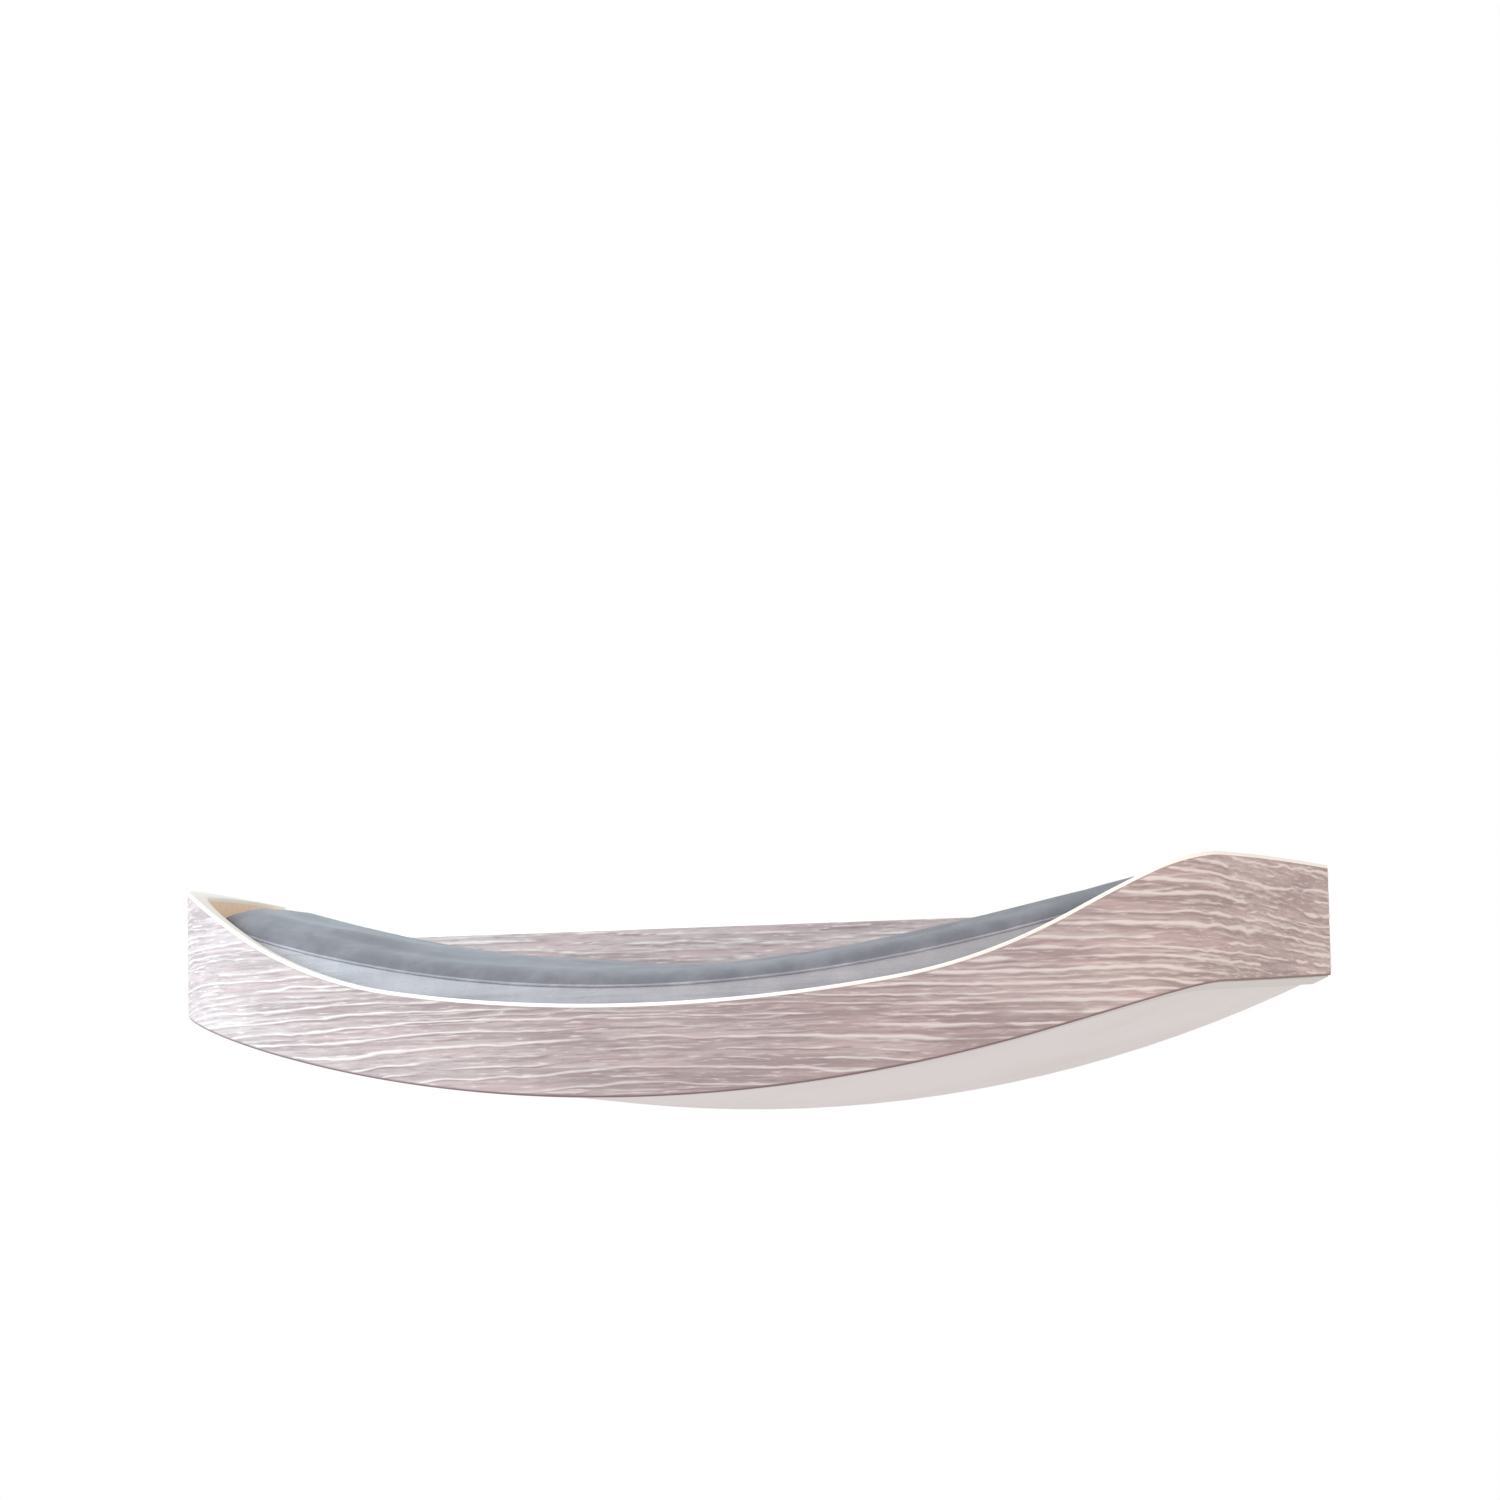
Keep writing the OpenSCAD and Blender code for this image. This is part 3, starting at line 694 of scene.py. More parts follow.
@dataclass
class Pieces:
    """Turns arrays into finished objects in the part's frame."""

    form: ShelfForm
    made: list[bpy.types.Object] = field(default_factory=list)

    def mesh(
        self,
        name: str,
        points: Array,
        faces: Sequence[Sequence[int]],
        look: Looks,
        run: Array | None = None,
        marks: Mapping[str, Array] | None = None,
        sharp: float = 40.0,
    ) -> bpy.types.Object:
        """Make an object from points in millimetres, with outward faces and smooth shading.

        Args:
            name: the piece's name.
            points: n by 3 points, measured as on the shelf.
            faces: corner numbers of each face.
            look: the piece's finish.
            run: n by 2 surface coordinates in millimetres, for the UV map.
            marks: numbers on the points, by name.
            sharp: faces that meet at more degrees than this keep a crease.

        Returns:
            The object.
        """
        placed = (np.asarray(points, float) - (0.0, 0.0, self.form.hole_h)) / PER_METRE
        mesh = bpy.data.meshes.new(name)
        mesh.from_pydata(placed, [], [list(map(int, f)) for f in faces])
        mesh.update(calc_edges=True)
        if self.volume(mesh) < 0:
            mesh.flip_normals()
        mesh.shade_smooth()
        mesh.set_sharp_from_angle(angle=math.radians(sharp))
        if run is not None:
            corners = np.empty(len(mesh.loops), np.int32)
            mesh.loops.foreach_get("vertex_index", corners)
            layer = mesh.uv_layers.new(name="run")
            layer.uv.foreach_set("vector", (np.asarray(run, np.float32)[corners] / PER_METRE).ravel())
        for key, values in (marks or {}).items():
            mark = mesh.attributes.new(key, "FLOAT", "POINT")
            mark.data.foreach_set("value", np.asarray(values, np.float32).ravel())
        mesh.materials.append(look.value.material())
        piece = bpy.data.objects.new(name, mesh)
        bpy.context.scene.collection.objects.link(piece)
        self.made.append(piece)
        return piece

    @staticmethod
    def volume(mesh: bpy.types.Mesh) -> float:
        """Six times the signed volume of a closed mesh, summed over its triangles.

        Args:
            mesh: the closed mesh.

        Returns:
            The sum, negative where the mesh's faces point inwards.
        """
        mesh.calc_loop_triangles()
        corners = np.empty(len(mesh.loop_triangles) * 3, np.int32)
        mesh.loop_triangles.foreach_get("vertices", corners)
        places = np.empty(len(mesh.vertices) * 3, np.float32)
        mesh.vertices.foreach_get("co", places)
        a, b, c = np.moveaxis(places.reshape(-1, 3)[corners.reshape(-1, 3)].astype(float), 1, 0)
        return float(np.einsum("ij,ij->i", a, np.cross(b, c)).sum())

    @staticmethod
    def quads(rows: int, columns: int, wrap_rows: bool = False, wrap_columns: bool = False) -> Array:
        """Corner numbers of a grid's quads, row by row.

        Args:
            rows, columns: the grid's size.
            wrap_rows, wrap_columns: whether the last row or column joins the first.

        Returns:
            n by 4 corner numbers.
        """
        steps = rows - (not wrap_rows), columns - (not wrap_columns)
        i, j = np.meshgrid(np.arange(steps[0]), np.arange(steps[1]), indexing="ij")
        up, right = (i + 1) % rows, (j + 1) % columns
        corners = (i, j), (i, right), (up, right), (up, j)
        return np.stack([row * columns + column for row, column in corners], -1).reshape(-1, 4)

    def sweep(
        self,
        name: str,
        section: Array,
        look: Looks,
        run: Array | None = None,
        marks: Mapping[str, Array] | None = None,
        closed: bool = False,
        sharp: float = 40.0,
    ) -> bpy.types.Object:
        """A closed profile carried along a path: rows go round the profile and columns along the path.

        Args:
            name, look, marks, sharp: as for `mesh`.
            section: rows by columns by 3 points.
            run: rows by columns by 2 surface coordinates.
            closed: whether the path is a loop; an open one gets a cap at each end.

        Returns:
            The object.
        """
        rows, columns = section.shape[:2]
        faces: list[Sequence[int]] = list(self.quads(rows, columns, True, closed))
        if not closed:
            first = np.arange(rows) * columns
            faces += [first, (first + columns - 1)[::-1]]
        flat = None if run is None else run.reshape(-1, 2)
        return self.mesh(name, section.reshape(-1, 3), faces, look, flat, marks, sharp)


@dataclass(frozen=True)
class OakGrain:
    """The relief of the oak decor: long wavy ridges along the board, each over a thin painted shadow line.

    Each wave of the ridges holds its size, its length along the board and its length up it.
    """

    pitch: float = 4.5
    presence: float = 0.42
    fine_pitch: float = 2.3
    fine_presence: float = 0.3
    height: float = 0.3
    tone_share: float = 0.25
    seed: int = 11
    waves: tuple[Triple, ...] = ((3.4, 150.0, 46.0), (1.3, 42.0, 15.0), (0.62, 14.0, 7.0), (0.2, 4.5, 3.0))

    def ridges(
        self, along: Array, z: Array, pitch: float, presence: float, seed: int
    ) -> tuple[Array, Array]:
        """One family of ridges: bent level lines, each with its own width and gaps.

        Args:
            along, z: place on the board.
            pitch: mean distance between lines.
            presence: share of each line that shows.
            seed: which family.

        Returns:
            Ridge and painted shadow line strength, each from 0 to 1.
        """
        bend = sum(
            size * swing(along / length, z / height, seed + i)
            for i, (size, length, height) in enumerate(self.waves)
        )
        # Lines draw together and apart over a long run.
        level = (z + bend) / pitch + 0.42 * swing(along / 310, (z + bend) / (1.9 * pitch), seed + 4)
        line = np.floor(level)
        off = (level - line - 0.5) * pitch
        # A line is broader in places, and all lines are broader towards the right end.
        breadth = 0.27 + 0.36 * lattice_noise(along / 30, line * 7.3, seed + 5) ** 2
        breadth = breadth + 0.24 * lattice_noise(along / 6, line * 3.7, seed + 6) ** 2
        breadth = breadth * (1 + 0.5 * smoothstep(60.0, 170.0, along))
        # A line shows where the sum of a slow and a quick noise along it is high.
        shown = 0.6 * lattice_noise(along / 85, line * 5.1, seed + 7)
        shown = shown + 0.4 * lattice_noise(along / 15, line * 2.9, seed + 8)
        shown = smoothstep(0.70 - presence, 0.92 - presence, shown)
        # Painted shadow: a thin dark line just below each ridge, where the raised ridge would shade the
        # ground.
        under = np.exp(-(((off + 1.5 * breadth) / (0.9 * breadth)) ** 2))
        return np.exp(-((off / breadth) ** 2)) * shown, under * shown

    def field(self, along: Array, z: Array) -> tuple[Array, Array]:
        """Ridge strength, and ground tone darkened by the painted shadow lines under the ridges.

        Args:
            along, z: place on the board.

        Returns:
            Streaks and tone, each from 0 to 1.
        """
        main, shadow = self.ridges(along, z, self.pitch, self.presence, self.seed)
        fine, faint = self.ridges(along, z, self.fine_pitch, self.fine_presence, self.seed + 20)
        tone = 0.55 * lattice_noise(along / 120, z / 5.5, self.seed + 40)
        tone = tone + 0.45 * lattice_noise(along / 36, z / 1.9, self.seed + 41)
        # The shadow lines of both ridge families are taken off the tone here: painted shade.
        tone = tone - 0.5 * shadow - 0.2 * faint
        # Ridges are lower in the middle and towards the left end.
        bold = 1 - 0.4 * np.exp(-((along / 75) ** 2)) - 0.35 * smoothstep(110.0, 240.0, -along)
        return np.clip(np.maximum(main * bold, 0.55 * fine), 0, 1), np.clip(tone, 0, 1)

    def relief(self, streak: Array, tone: Array) -> Array:
        """How far the face stands out: the ridges, and a share of the tone with its painted shadow lines."""
        return self.height * (streak + self.tone_share * tone)


@dataclass
class Band:
    """The bent band: plywood core, relief oak face and cream edging on its rim."""

    form: ShelfForm
    pieces: Pieces
    face_columns: int = 640
    face_rows: int = 150
    core_columns: int = 360
    edging_columns: int = 720
    plies: float = 10.0
    flat_border: float = 1.4
    worn_edge: float = 0.3
    worn_height: float = 0.35
    cut_edge: tuple[float, float] = (0.35, 1.1)
    grain: OakGrain = field(default_factory=OakGrain)

    def build(self) -> None:
        """Make the three layers and put them on the shelf's body."""
        layers = {
            "front_laminate": self.face(),
            "front_band": self.core(),
            "front_edging": self.edging(),
        }
        for node, piece in layers.items():
            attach(piece, "shelf")
            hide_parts(node)

    def lower_edge(self, x: Array) -> Array:
        """Height of the band's lower edge, a skirt below the base."""
        return self.form.arc(x, -self.form.skirt)

    def face(self) -> bpy.types.Object:
        """The laminate: a grid over run and height, pushed out by the grain.

        Its back is plain, and its lower edge is worn in and shows a dark cut.

        Returns:
            The object.
        """
        along = np.linspace(-self.form.half_run, self.form.half_run, self.face_columns)
        x, _ = self.form.plan(along, 0.0)
        low, high = self.lower_edge(x), self.form.rim(x, self.form.edging_t)
        rise = np.linspace(0, 1, self.face_rows)[:, None]
        z = low + (high - low) * rise
        # The tone carries the painted shadow lines under the ridges into the oak's colour.
        streak, tone = self.grain.field(along[None, :], z)
        above, below = (high - low) * (1 - rise), (high - low) * rise
        fade = smoothstep(0.0, self.flat_border, np.minimum(above, below))
        worn = self.worn_edge * np.exp(-below / self.worn_height)
        inset = -self.grain.relief(streak, tone) * fade + worn
        px, py = self.form.plan(along[None, :], inset)
        bx, by = self.form.plan(along, self.form.laminate_t)
        back = [np.stack([bx, by, edge], -1)[None] for edge in (high, low)]
        section = np.concatenate([np.stack([px, py, z], -1), *back])
        run = np.stack([np.broadcast_to(along, section.shape[:2]), section[..., 2]], -1)
        rear = np.zeros((2, self.face_columns))
        marks = {
            "streak": np.concatenate([streak * fade, rear]),
            "tone": np.concatenate([tone, rear]),
            "cut": np.concatenate([1 - smoothstep(*self.cut_edge, below), rear + 1]),
        }
        return self.pieces.sweep("oak_face", section, Looks.OAK, run, marks, sharp=70.0)

    def core(self) -> bpy.types.Object:
        """The plywood core: a profile with the base's groove in its inner face, carried along the band.

        Points above the groove are given by inset and share of the height from the groove to the rim, and
        points below its roof by inset and distance from the base's underside. The lower edge is sealed, and
        the cut ends show the plies.

        Returns:
            The object.
        """
        form = self.form
        outer, inner = form.laminate_t, form.wall_t
        roof, foot, deep = form.base_t + form.glue_gap, -form.skirt, inner - form.groove_d
        floor = form.laminate_t - form.glue_gap
        above = [(outer, 1.0), (inner, 1.0)] + [(inner, s) for s in (0.8, 0.6, 0.4, 0.2)]
        # The foot's inner edge is eased, and the sealed foot has points across its width.
        below = [(inner, roof), (deep, roof), (deep, floor), (inner, floor), (inner, foot + 0.6)]
        below += [(inner - 0.2, foot + 0.2)] + [(inner - s, foot) for s in (0.7, 2.5, 4.5, 6.0, 7.5)]
        along = np.linspace(-form.half_run, form.half_run, self.core_columns)[None, :]
        inset = np.array([i for i, _ in above + below])[:, None]
        x, y = form.plan(along, inset)
        high = x[: len(above)]
        ledge, rim = form.arc(high, roof), form.rim(high, form.edging_t)
        share = np.array([s for _, s in above])[:, None]
        rise = np.array([up for _, up in below])[:, None]
        z = np.concatenate([ledge + (rim - ledge) * share, form.arc(x[len(above) :], rise)])
        run = np.stack([np.broadcast_to(along, x.shape), z], -1)
        sealed = np.array([0.0] * len(above) + [up < floor for _, up in below], float)[:, None]
        marks = {
            "layer": np.broadcast_to((inset - outer) / form.band_t * self.plies, x.shape),
            "sealed": np.broadcast_to(sealed, x.shape),
        }
        return self.pieces.sweep("ply_core", np.stack([x, y, z], -1), Looks.PLY_EDGE, run, marks)

    def edging(self) -> bpy.types.Object:
        """The edge band on the rim: a thin strip with both top edges rounded over.

        Returns:
            The object.
        """
        form = self.form
        along = np.linspace(-form.half_run, form.half_run, self.edging_columns)[None, :]
        inset, up = form.strip_profile(form.wall_t, (0.3, 0.5, 0.7))
        x, y = form.plan(along, inset)
        foot = form.rim(x, form.edging_t)
        z = foot + (form.rim(x) - foot) * up / form.edging_t
        return self.pieces.sweep("rim_edging", np.stack([x, y, z], -1), Looks.EDGING)


@dataclass
class Back:
    """The back panel: plywood with a relief oak face, screw holes and an edge band."""

    form: ShelfForm
    pieces: Pieces
    hole_x: float = 170.0
    hole_rows: float = 26.0
    sink_r: float = 5.5
    hole_reach: float = 1.5
    columns: int = 430
    rows: int = 90
    edging_columns: int = 40
    grain: OakGrain = field(default_factory=lambda: OakGrain(seed=71))

    def build(self) -> None:
        """Make the oak face and the edge band and put them on the shelf's body."""
        for piece, node in ((self.face(), "back_laminate"), (self.edging(), "back_edging")):
            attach(piece, "shelf")
            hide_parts(node)

    def half_width(self, y: Array | float) -> Array | float:
        """Half the panel's width between the ends of the band, at a depth.

        Args:
            y: the depth.

        Returns:
            Half the width.
        """
        slant = math.radians(self.form.end_slant)
        reach = self.form.end_reach - self.form.wall_t - self.form.glue_gap
        return (reach + y * math.sin(slant)) / math.cos(slant)

    def centres(self) -> list[tuple[float, float]]:
        """Places of the four screw holes, across and up."""
        middle, step = self.form.hole_h, self.hole_rows / 2
        return [(side * self.hole_x, middle + level * step) for side in (-1, 1) for level in (-1, 1)]

    def face(self) -> bpy.types.Object:
        """A grid over x and height, pushed out by the grain, with round holes.

        Cells inside a hole go, and the points round it are drawn onto its circle, wider in front than behind.

        Returns:
            The object.
        """
        front, rear = -self.form.panel_t - self.form.laminate_t, -self.form.panel_t
        half = self.half_width(front)
        x = np.broadcast_to(np.linspace(-half, half, self.columns), (self.rows, self.columns)).copy()
        low = self.form.arc(x, self.form.base_t) + self.form.glue_gap
        z = low + (self.form.panel_h - self.form.edging_t - low) * np.linspace(0, 1, self.rows)[:, None]
        quads = self.pieces.quads(self.rows, self.columns)
        flat_x, flat_z = x.ravel(), z.ravel()
        mid_x, mid_z = flat_x[quads].mean(1), flat_z[quads].mean(1)
        inside = np.zeros(len(quads), bool)
        for cx, cz in self.centres():
            inside |= np.hypot(mid_x - cx, mid_z - cz) < self.sink_r
        kept = quads[~inside]
        edges = np.stack([kept, np.roll(kept, -1, 1)], -1).reshape(-1, 2)
        _, first, count = np.unique(np.sort(edges, 1), axis=0, return_index=True, return_counts=True)
        border = edges[first[count == 1]]
        size = len(flat_x)
        edge = np.zeros(size, bool)
        edge[np.unique(border)] = True
        rear_x, rear_z = flat_x.copy(), flat_z.copy()
        circles = (flat_x, flat_z, self.sink_r), (rear_x, rear_z, self.sink_r - self.form.laminate_t)
        for cx, cz in self.centres():
            dx, dz = flat_x - cx, flat_z - cz
            away = np.hypot(dx, dz)
            near = edge & (away < self.sink_r * self.hole_reach)
            for across, up, radius in circles:
                across[near] = cx + dx[near] / away[near] * radius
                up[near] = cz + dz[near] / away[near] * radius
        # The tone carries the painted shadow lines under the ridges into the oak's colour.
        streak, tone = self.grain.field(flat_x, flat_z)
        y = np.where(edge, front, front - self.grain.relief(streak, tone))
        skin = np.stack([flat_x, y, flat_z], -1)
        points = np.concatenate([skin, np.stack([rear_x, np.full(size, rear), rear_z], -1)])
        walls = np.stack([border[:, 1], border[:, 0], border[:, 0] + size, border[:, 1] + size], -1)
        faces = np.concatenate([kept, walls, kept[:, ::-1] + size])
        used = np.unique(faces)
        number = np.zeros(len(points), np.int64)
        number[used] = np.arange(len(used))
        marks = {"streak": np.where(edge, 0, streak), "tone": tone, "cut": np.zeros(size)}
        marks = {key: np.concatenate([values, values])[used] for key, values in marks.items()}
        run = np.stack([points[used][:, 0], points[used][:, 2]], -1)
        return self.pieces.mesh("oak_back_face", points[used], number[faces], Looks.OAK, run, marks, 70.0)

    def edging(self) -> bpy.types.Object:
        """The edge band along the panel's top, rounded over at the front and the back.

        Returns:
            The object.
        """
        deep = self.form.panel_t + self.form.laminate_t
        across, up = self.form.strip_profile(deep, (0.25, 0.5, 0.75))
        y = across - deep
        x = np.linspace(-1, 1, self.edging_columns)[None, :] * self.half_width(y)
        z = self.form.panel_h - self.form.edging_t + up
        section = np.stack(np.broadcast_arrays(x, y, z), -1)
        return self.pieces.sweep("panel_edging", section, Looks.EDGING)


@dataclass
class Cushion:
    """The box cushion: velvet top panel, side band, lining and a thin corded seam."""

    form: ShelfForm
    pieces: Pieces
    gap: float = 4.0
    back_gap: float = 11.0
    rear_r: float = 42.0
    lift: float = 2.3
    seam_h: float = 34.0
    seam_sag: float = 1.5
    seam_pull: float = 2.5
    roll_w: float = 24.0
    roll_h: float = 8.6
    crown_h: float = 13.2
    cover_t: float = 1.2
    cord_r: float = 0.65
    cord_sides: int = 12
    cord_wobble: float = 0.12
    around: int = 300
    side_rows: int = 9
    roll_rows: int = 11
    dome_rows: int = 22
    pole_share: float = 0.02
    swell: float = 2.0
    swell_frames: int = 20
    blur_reach: int = 18
    blur_width: float = 7.0
    end_drop: float = 1.0
    drop_from: float = 110.0
    drop_to: float = 210.0
    firm_share: float = 0.4
    pucker: float = 0.55
    pucker_cells: float = 26.0
    pucker_at: float = 40.0
    pucker_rows: float = 3.0
    held_rows: float = 2.0
    top_wave: float = 1.1
    side_wave: float = 0.35
    wave_across: float = 46.0
    wave_deep: float = 40.0

    @property
    def rear_y(self) -> float:
        """Depth of the cushion's straight rear side."""
        return -self.form.panel_t - self.form.laminate_t - self.back_gap

    @property
    def middle(self) -> Array:
        """Middle of the cushion in plan."""
        front = -self.form.depth + self.form.wall_t + self.gap
        return np.array([0.0, (self.rear_y + front) / 2])

    def outline(self, inset: Array | float) -> tuple[Array, Array]:
        """The cushion's edge in plan: front arc, corner arcs, straight ends, rear arcs and a straight rear.

        Args:
            inset: distance in from the fullest line; a column of insets gives a row of rings.

        Returns:
            x and y, counter-clockwise from mid front.
        """
        form, inner = self.form, self.form.wall_t + self.gap
        inset = np.asarray(inset, float)
        turn, end = math.radians(form.front_turn), math.radians(90 - form.end_slant)
        slant = math.radians(form.end_slant)
        front_c, corner_c = np.array([0.0, form.front_r - form.depth]), np.array(form.corner_c)
        rear_c = np.array([0.0, self.rear_y - self.rear_r])
        reach = form.end_reach - inner - self.rear_r
        rear_c[0] = (reach + rear_c[1] * math.sin(slant)) / math.cos(slant)
        tighter = self.rear_r - form.corner_r + inner
        straight = rear_c - corner_c + tighter * np.array([math.sin(end), -math.cos(end)])
        stretches = [
            (form.front_r - inner) * turn,
            (form.corner_r - inner) * (end - turn),
            float(np.hypot(*straight)),
            self.rear_r * (math.pi - end),
            rear_c[0],
        ]
        stops = np.concatenate([[0.0], np.cumsum(stretches)])
        run = np.linspace(0, 2 * stops[-1], self.around, endpoint=False)
        right = run <= stops[-1]
        run = np.where(right, run, 2 * stops[-1] - run)
        part = np.clip(np.searchsorted(stops, run, "right") - 1, 0, len(stretches) - 1)
        share = (run - stops[part]) / np.array(stretches)[part]
        bow, corner, side, rear_corner, rear = (part == k for k in range(len(stretches)))
        angle = np.select(
            [bow, corner, side, rear_corner],
            [share * turn, turn + share * (end - turn), end, end + share * (math.pi - end)],
            math.pi,
        )
        heads = np.stack([np.sin(angle), -np.cos(angle)])
        centre = np.where(corner | side, corner_c[:, None], rear_c[:, None])
        centre = np.where(bow, front_c[:, None], centre)
        radius = np.where(corner | side, form.corner_r - inner, self.rear_r)
        radius = np.where(bow, form.front_r - inner, radius)
        glide = np.where(side, share, 0.0)
        x = centre[0] + heads[0] * (radius - inset) + glide * straight[0]
        y = centre[1] + heads[1] * (radius - inset) + glide * straight[1]
        x = np.where(rear, rear_c[0] * (1 - share), x)
        return np.where(right, x, -x), y

    def over_base(self, x: Array, h: Array | float) -> Array:
        """Height of a point of the cushion that lies h above its underside."""
        return self.form.arc(x, self.form.base_t) + self.lift + h

    def rings(self) -> tuple[Array, Array]:
        """The whole cover as rings from the middle of the lining, up the side band and over the top panel.

        Returns:
            rows by columns by 3 points, and each row's place: 0 lining, 1 side band, 2 top panel.
        """
        shares = np.array([self.pole_share, 0.25, 0.5, 0.75, 0.92])
        side = np.linspace(0, 1, self.side_rows)
        roll = np.radians(np.linspace(0, 90, self.roll_rows)[1:])
        dome = np.linspace(1, self.pole_share, self.dome_rows)[1:]
        bulge = self.seam_pull * (1 - np.sin(np.pi * side))
        inset = [
            np.full(len(shares), self.seam_pull),
            bulge,
            self.seam_pull + self.roll_w * (1 - np.cos(roll)),
            np.full(len(dome), self.seam_pull + self.roll_w),
        ]
        inset = np.concatenate(inset)
        share = np.concatenate([shares, np.ones(self.side_rows + len(roll)), dome])
        seam, top = self.seam_h - self.seam_sag, self.seam_h + self.roll_h
        height = [
            np.zeros(len(shares)),
            side * seam,
            seam + (top - seam) * np.sin(roll),
            top + (self.crown_h - self.roll_h) * (1 - dome**2),
        ]
        height = np.concatenate(height)
        place = np.repeat([0, 1, 2], [len(shares), self.side_rows, len(roll) + len(dome)])
        firm = self.seam_h * self.firm_share
        settle = np.clip((height - firm) / (self.seam_h - firm), 0, 1)[:, None] * self.end_drop
        x, y = self.outline(inset[:, None])
        x = self.middle[0] + (x - self.middle[0]) * share[:, None]
        y = self.middle[1] + (y - self.middle[1]) * share[:, None]
        settle = settle * smoothstep(self.drop_from, self.drop_to, np.abs(x))
        return np.stack([x, y, self.over_base(x, height[:, None] - settle)], -1), place

    def swollen(self, rings: Array, place: Array) -> Array:
        """Let the cover swell as cloth under pressure between its seams.

        The move of each point is capped, blurred along the rings and evened out towards the middle.

        Args:
            rings: the cover's rest shape.
            place: each row's place.

        Returns:
            The swollen rings.
        """
        rows, columns = rings.shape[:2]
        faces: list[Sequence[int]] = list(self.pieces.quads(rows, columns, False, True))
        faces += [np.arange(columns)[::-1], np.arange(columns) + (rows - 1) * columns]
        mesh = bpy.data.meshes.new("cover_trial")
        mesh.from_pydata(rings.reshape(-1, 3) / PER_METRE, [], [list(map(int, f)) for f in faces])
        mesh.update(calc_edges=True)
        if Pieces.volume(mesh) < 0:
            mesh.flip_normals()
        trial = bpy.data.objects.new("cover_trial", mesh)
        bpy.context.scene.collection.objects.link(trial)
        seam = int(np.argmax(place == 2)) - 1
        held = np.isin(np.arange(rows), [seam, seam - self.side_rows + 1]) | (place == 0)
        pins = trial.vertex_groups.new(name="held")
        pins.add([int(v) for v in np.flatnonzero(np.repeat(held, columns))], 1.0, "REPLACE")
        cloth = trial.modifiers.new("cloth", "CLOTH").settings
        cloth.quality, cloth.mass = 5, 0.25
        cloth.tension_stiffness = cloth.compression_stiffness = 22.0
        cloth.shear_stiffness, cloth.bending_stiffness = 8.0, 1.2
        cloth.use_pressure, cloth.uniform_pressure_force = True, 4.0
        cloth.shrink_min = cloth.shrink_max = -0.005
        cloth.vertex_group_mass = "held"
        cloth.effector_weights.gravity = 0.0
        scene = bpy.context.scene
        for frame in range(1, self.swell_frames + 1):
            scene.frame_set(frame)
        shape = trial.evaluated_get(bpy.context.evaluated_depsgraph_get()).to_mesh()
        moved = np.empty(len(shape.vertices) * 3, np.float32)
        shape.vertices.foreach_get("co", moved)
        scene.frame_set(1)
        bpy.data.objects.remove(trial)
        bpy.data.meshes.remove(mesh)
        shift = moved.reshape(rings.shape).astype(float) * PER_METRE - rings
        length = np.linalg.norm(shift, axis=-1, keepdims=True)
        LOG.info("cover swelled by up to %.1f mm", float(length.max()))
        shift *= np.minimum(1.0, self.swell / np.maximum(length, 1e-9))
        reach = np.arange(-self.blur_reach, self.blur_reach + 1)
        weights = np.exp(-((reach / self.blur_width) ** 2))
        shift = sum(w * np.roll(shift, int(r), 1) for w, r in zip(weights / weights.sum(), reach))
        core = self.dome_rows // 2
        mean = shift[-core].mean(0)
        fade = np.linspace(1, 0, core)[:, None, None] ** 2
        shift[-core:] = mean + (shift[-core] - mean) * fade
        return rings + shift

    def normals(self, rings: Array) -> Array:
        """Outward normals of the rings' grid, from the cross product of its two directions.

        Args:
            rings: rows by columns by 3 points.

        Returns:
            A unit normal for each point.
        """
        around = np.roll(rings, -1, 1) - np.roll(rings, 1, 1)
        up = np.gradient(rings, axis=0)
        n = np.cross(around, up)
        return n / np.maximum(np.linalg.norm(n, axis=-1, keepdims=True), 1e-9)

    def shell(self, name: str, outer: Array, look: Looks, pole: int | None) -> bpy.types.Object:
        """A layer of cloth: the outer rings, the same rings moved in by its thickness, and their border.

        Args:
            name: the piece's name.
            outer: rows by columns by 3 points.
            look: its finish.
            pole: the row that closes over its middle, or None for an open band.

        Returns:
            The object.
        """
        inner = outer - self.normals(outer) * self.cover_t
        rows, columns = outer.shape[:2]
        if pole is None:
            section = np.concatenate([outer, inner[::-1]])
            faces: list[Sequence[int]] = list(self.pieces.quads(2 * rows, columns, True, True))
        else:
            if pole == 0:
                outer, inner = outer[::-1], inner[::-1]
            section = np.concatenate([inner[::-1], outer])
            faces = list(self.pieces.quads(2 * rows, columns, False, True))
            faces += [np.arange(columns)[::-1], np.arange(columns) + (2 * rows - 1) * columns]
        return self.pieces.mesh(name, section.reshape(-1, 3), faces, look, sharp=60.0)

    def build(self) -> None:
        """Swell the cover, pucker it at the seam, cut it into its panels and cord the seam."""
        rings, place = self.rings()
        rings = self.swollen(rings, place)
        seam = int(np.argmax(place == 2)) - 1
        rows_off = np.abs(np.arange(len(rings)) - seam)[:, None]
        loop = 2 * np.pi * (np.arange(self.around) / self.around)
        # Puckers are read from noise round a circle, so that they close, and fade within rows of the seam.
        circle = self.pucker_cells * np.stack([np.cos(loop), np.sin(loop)]) + self.pucker_at
        pucker = self.pucker * swing(circle[0], circle[1], 5) * np.exp(-rows_off / self.pucker_rows)
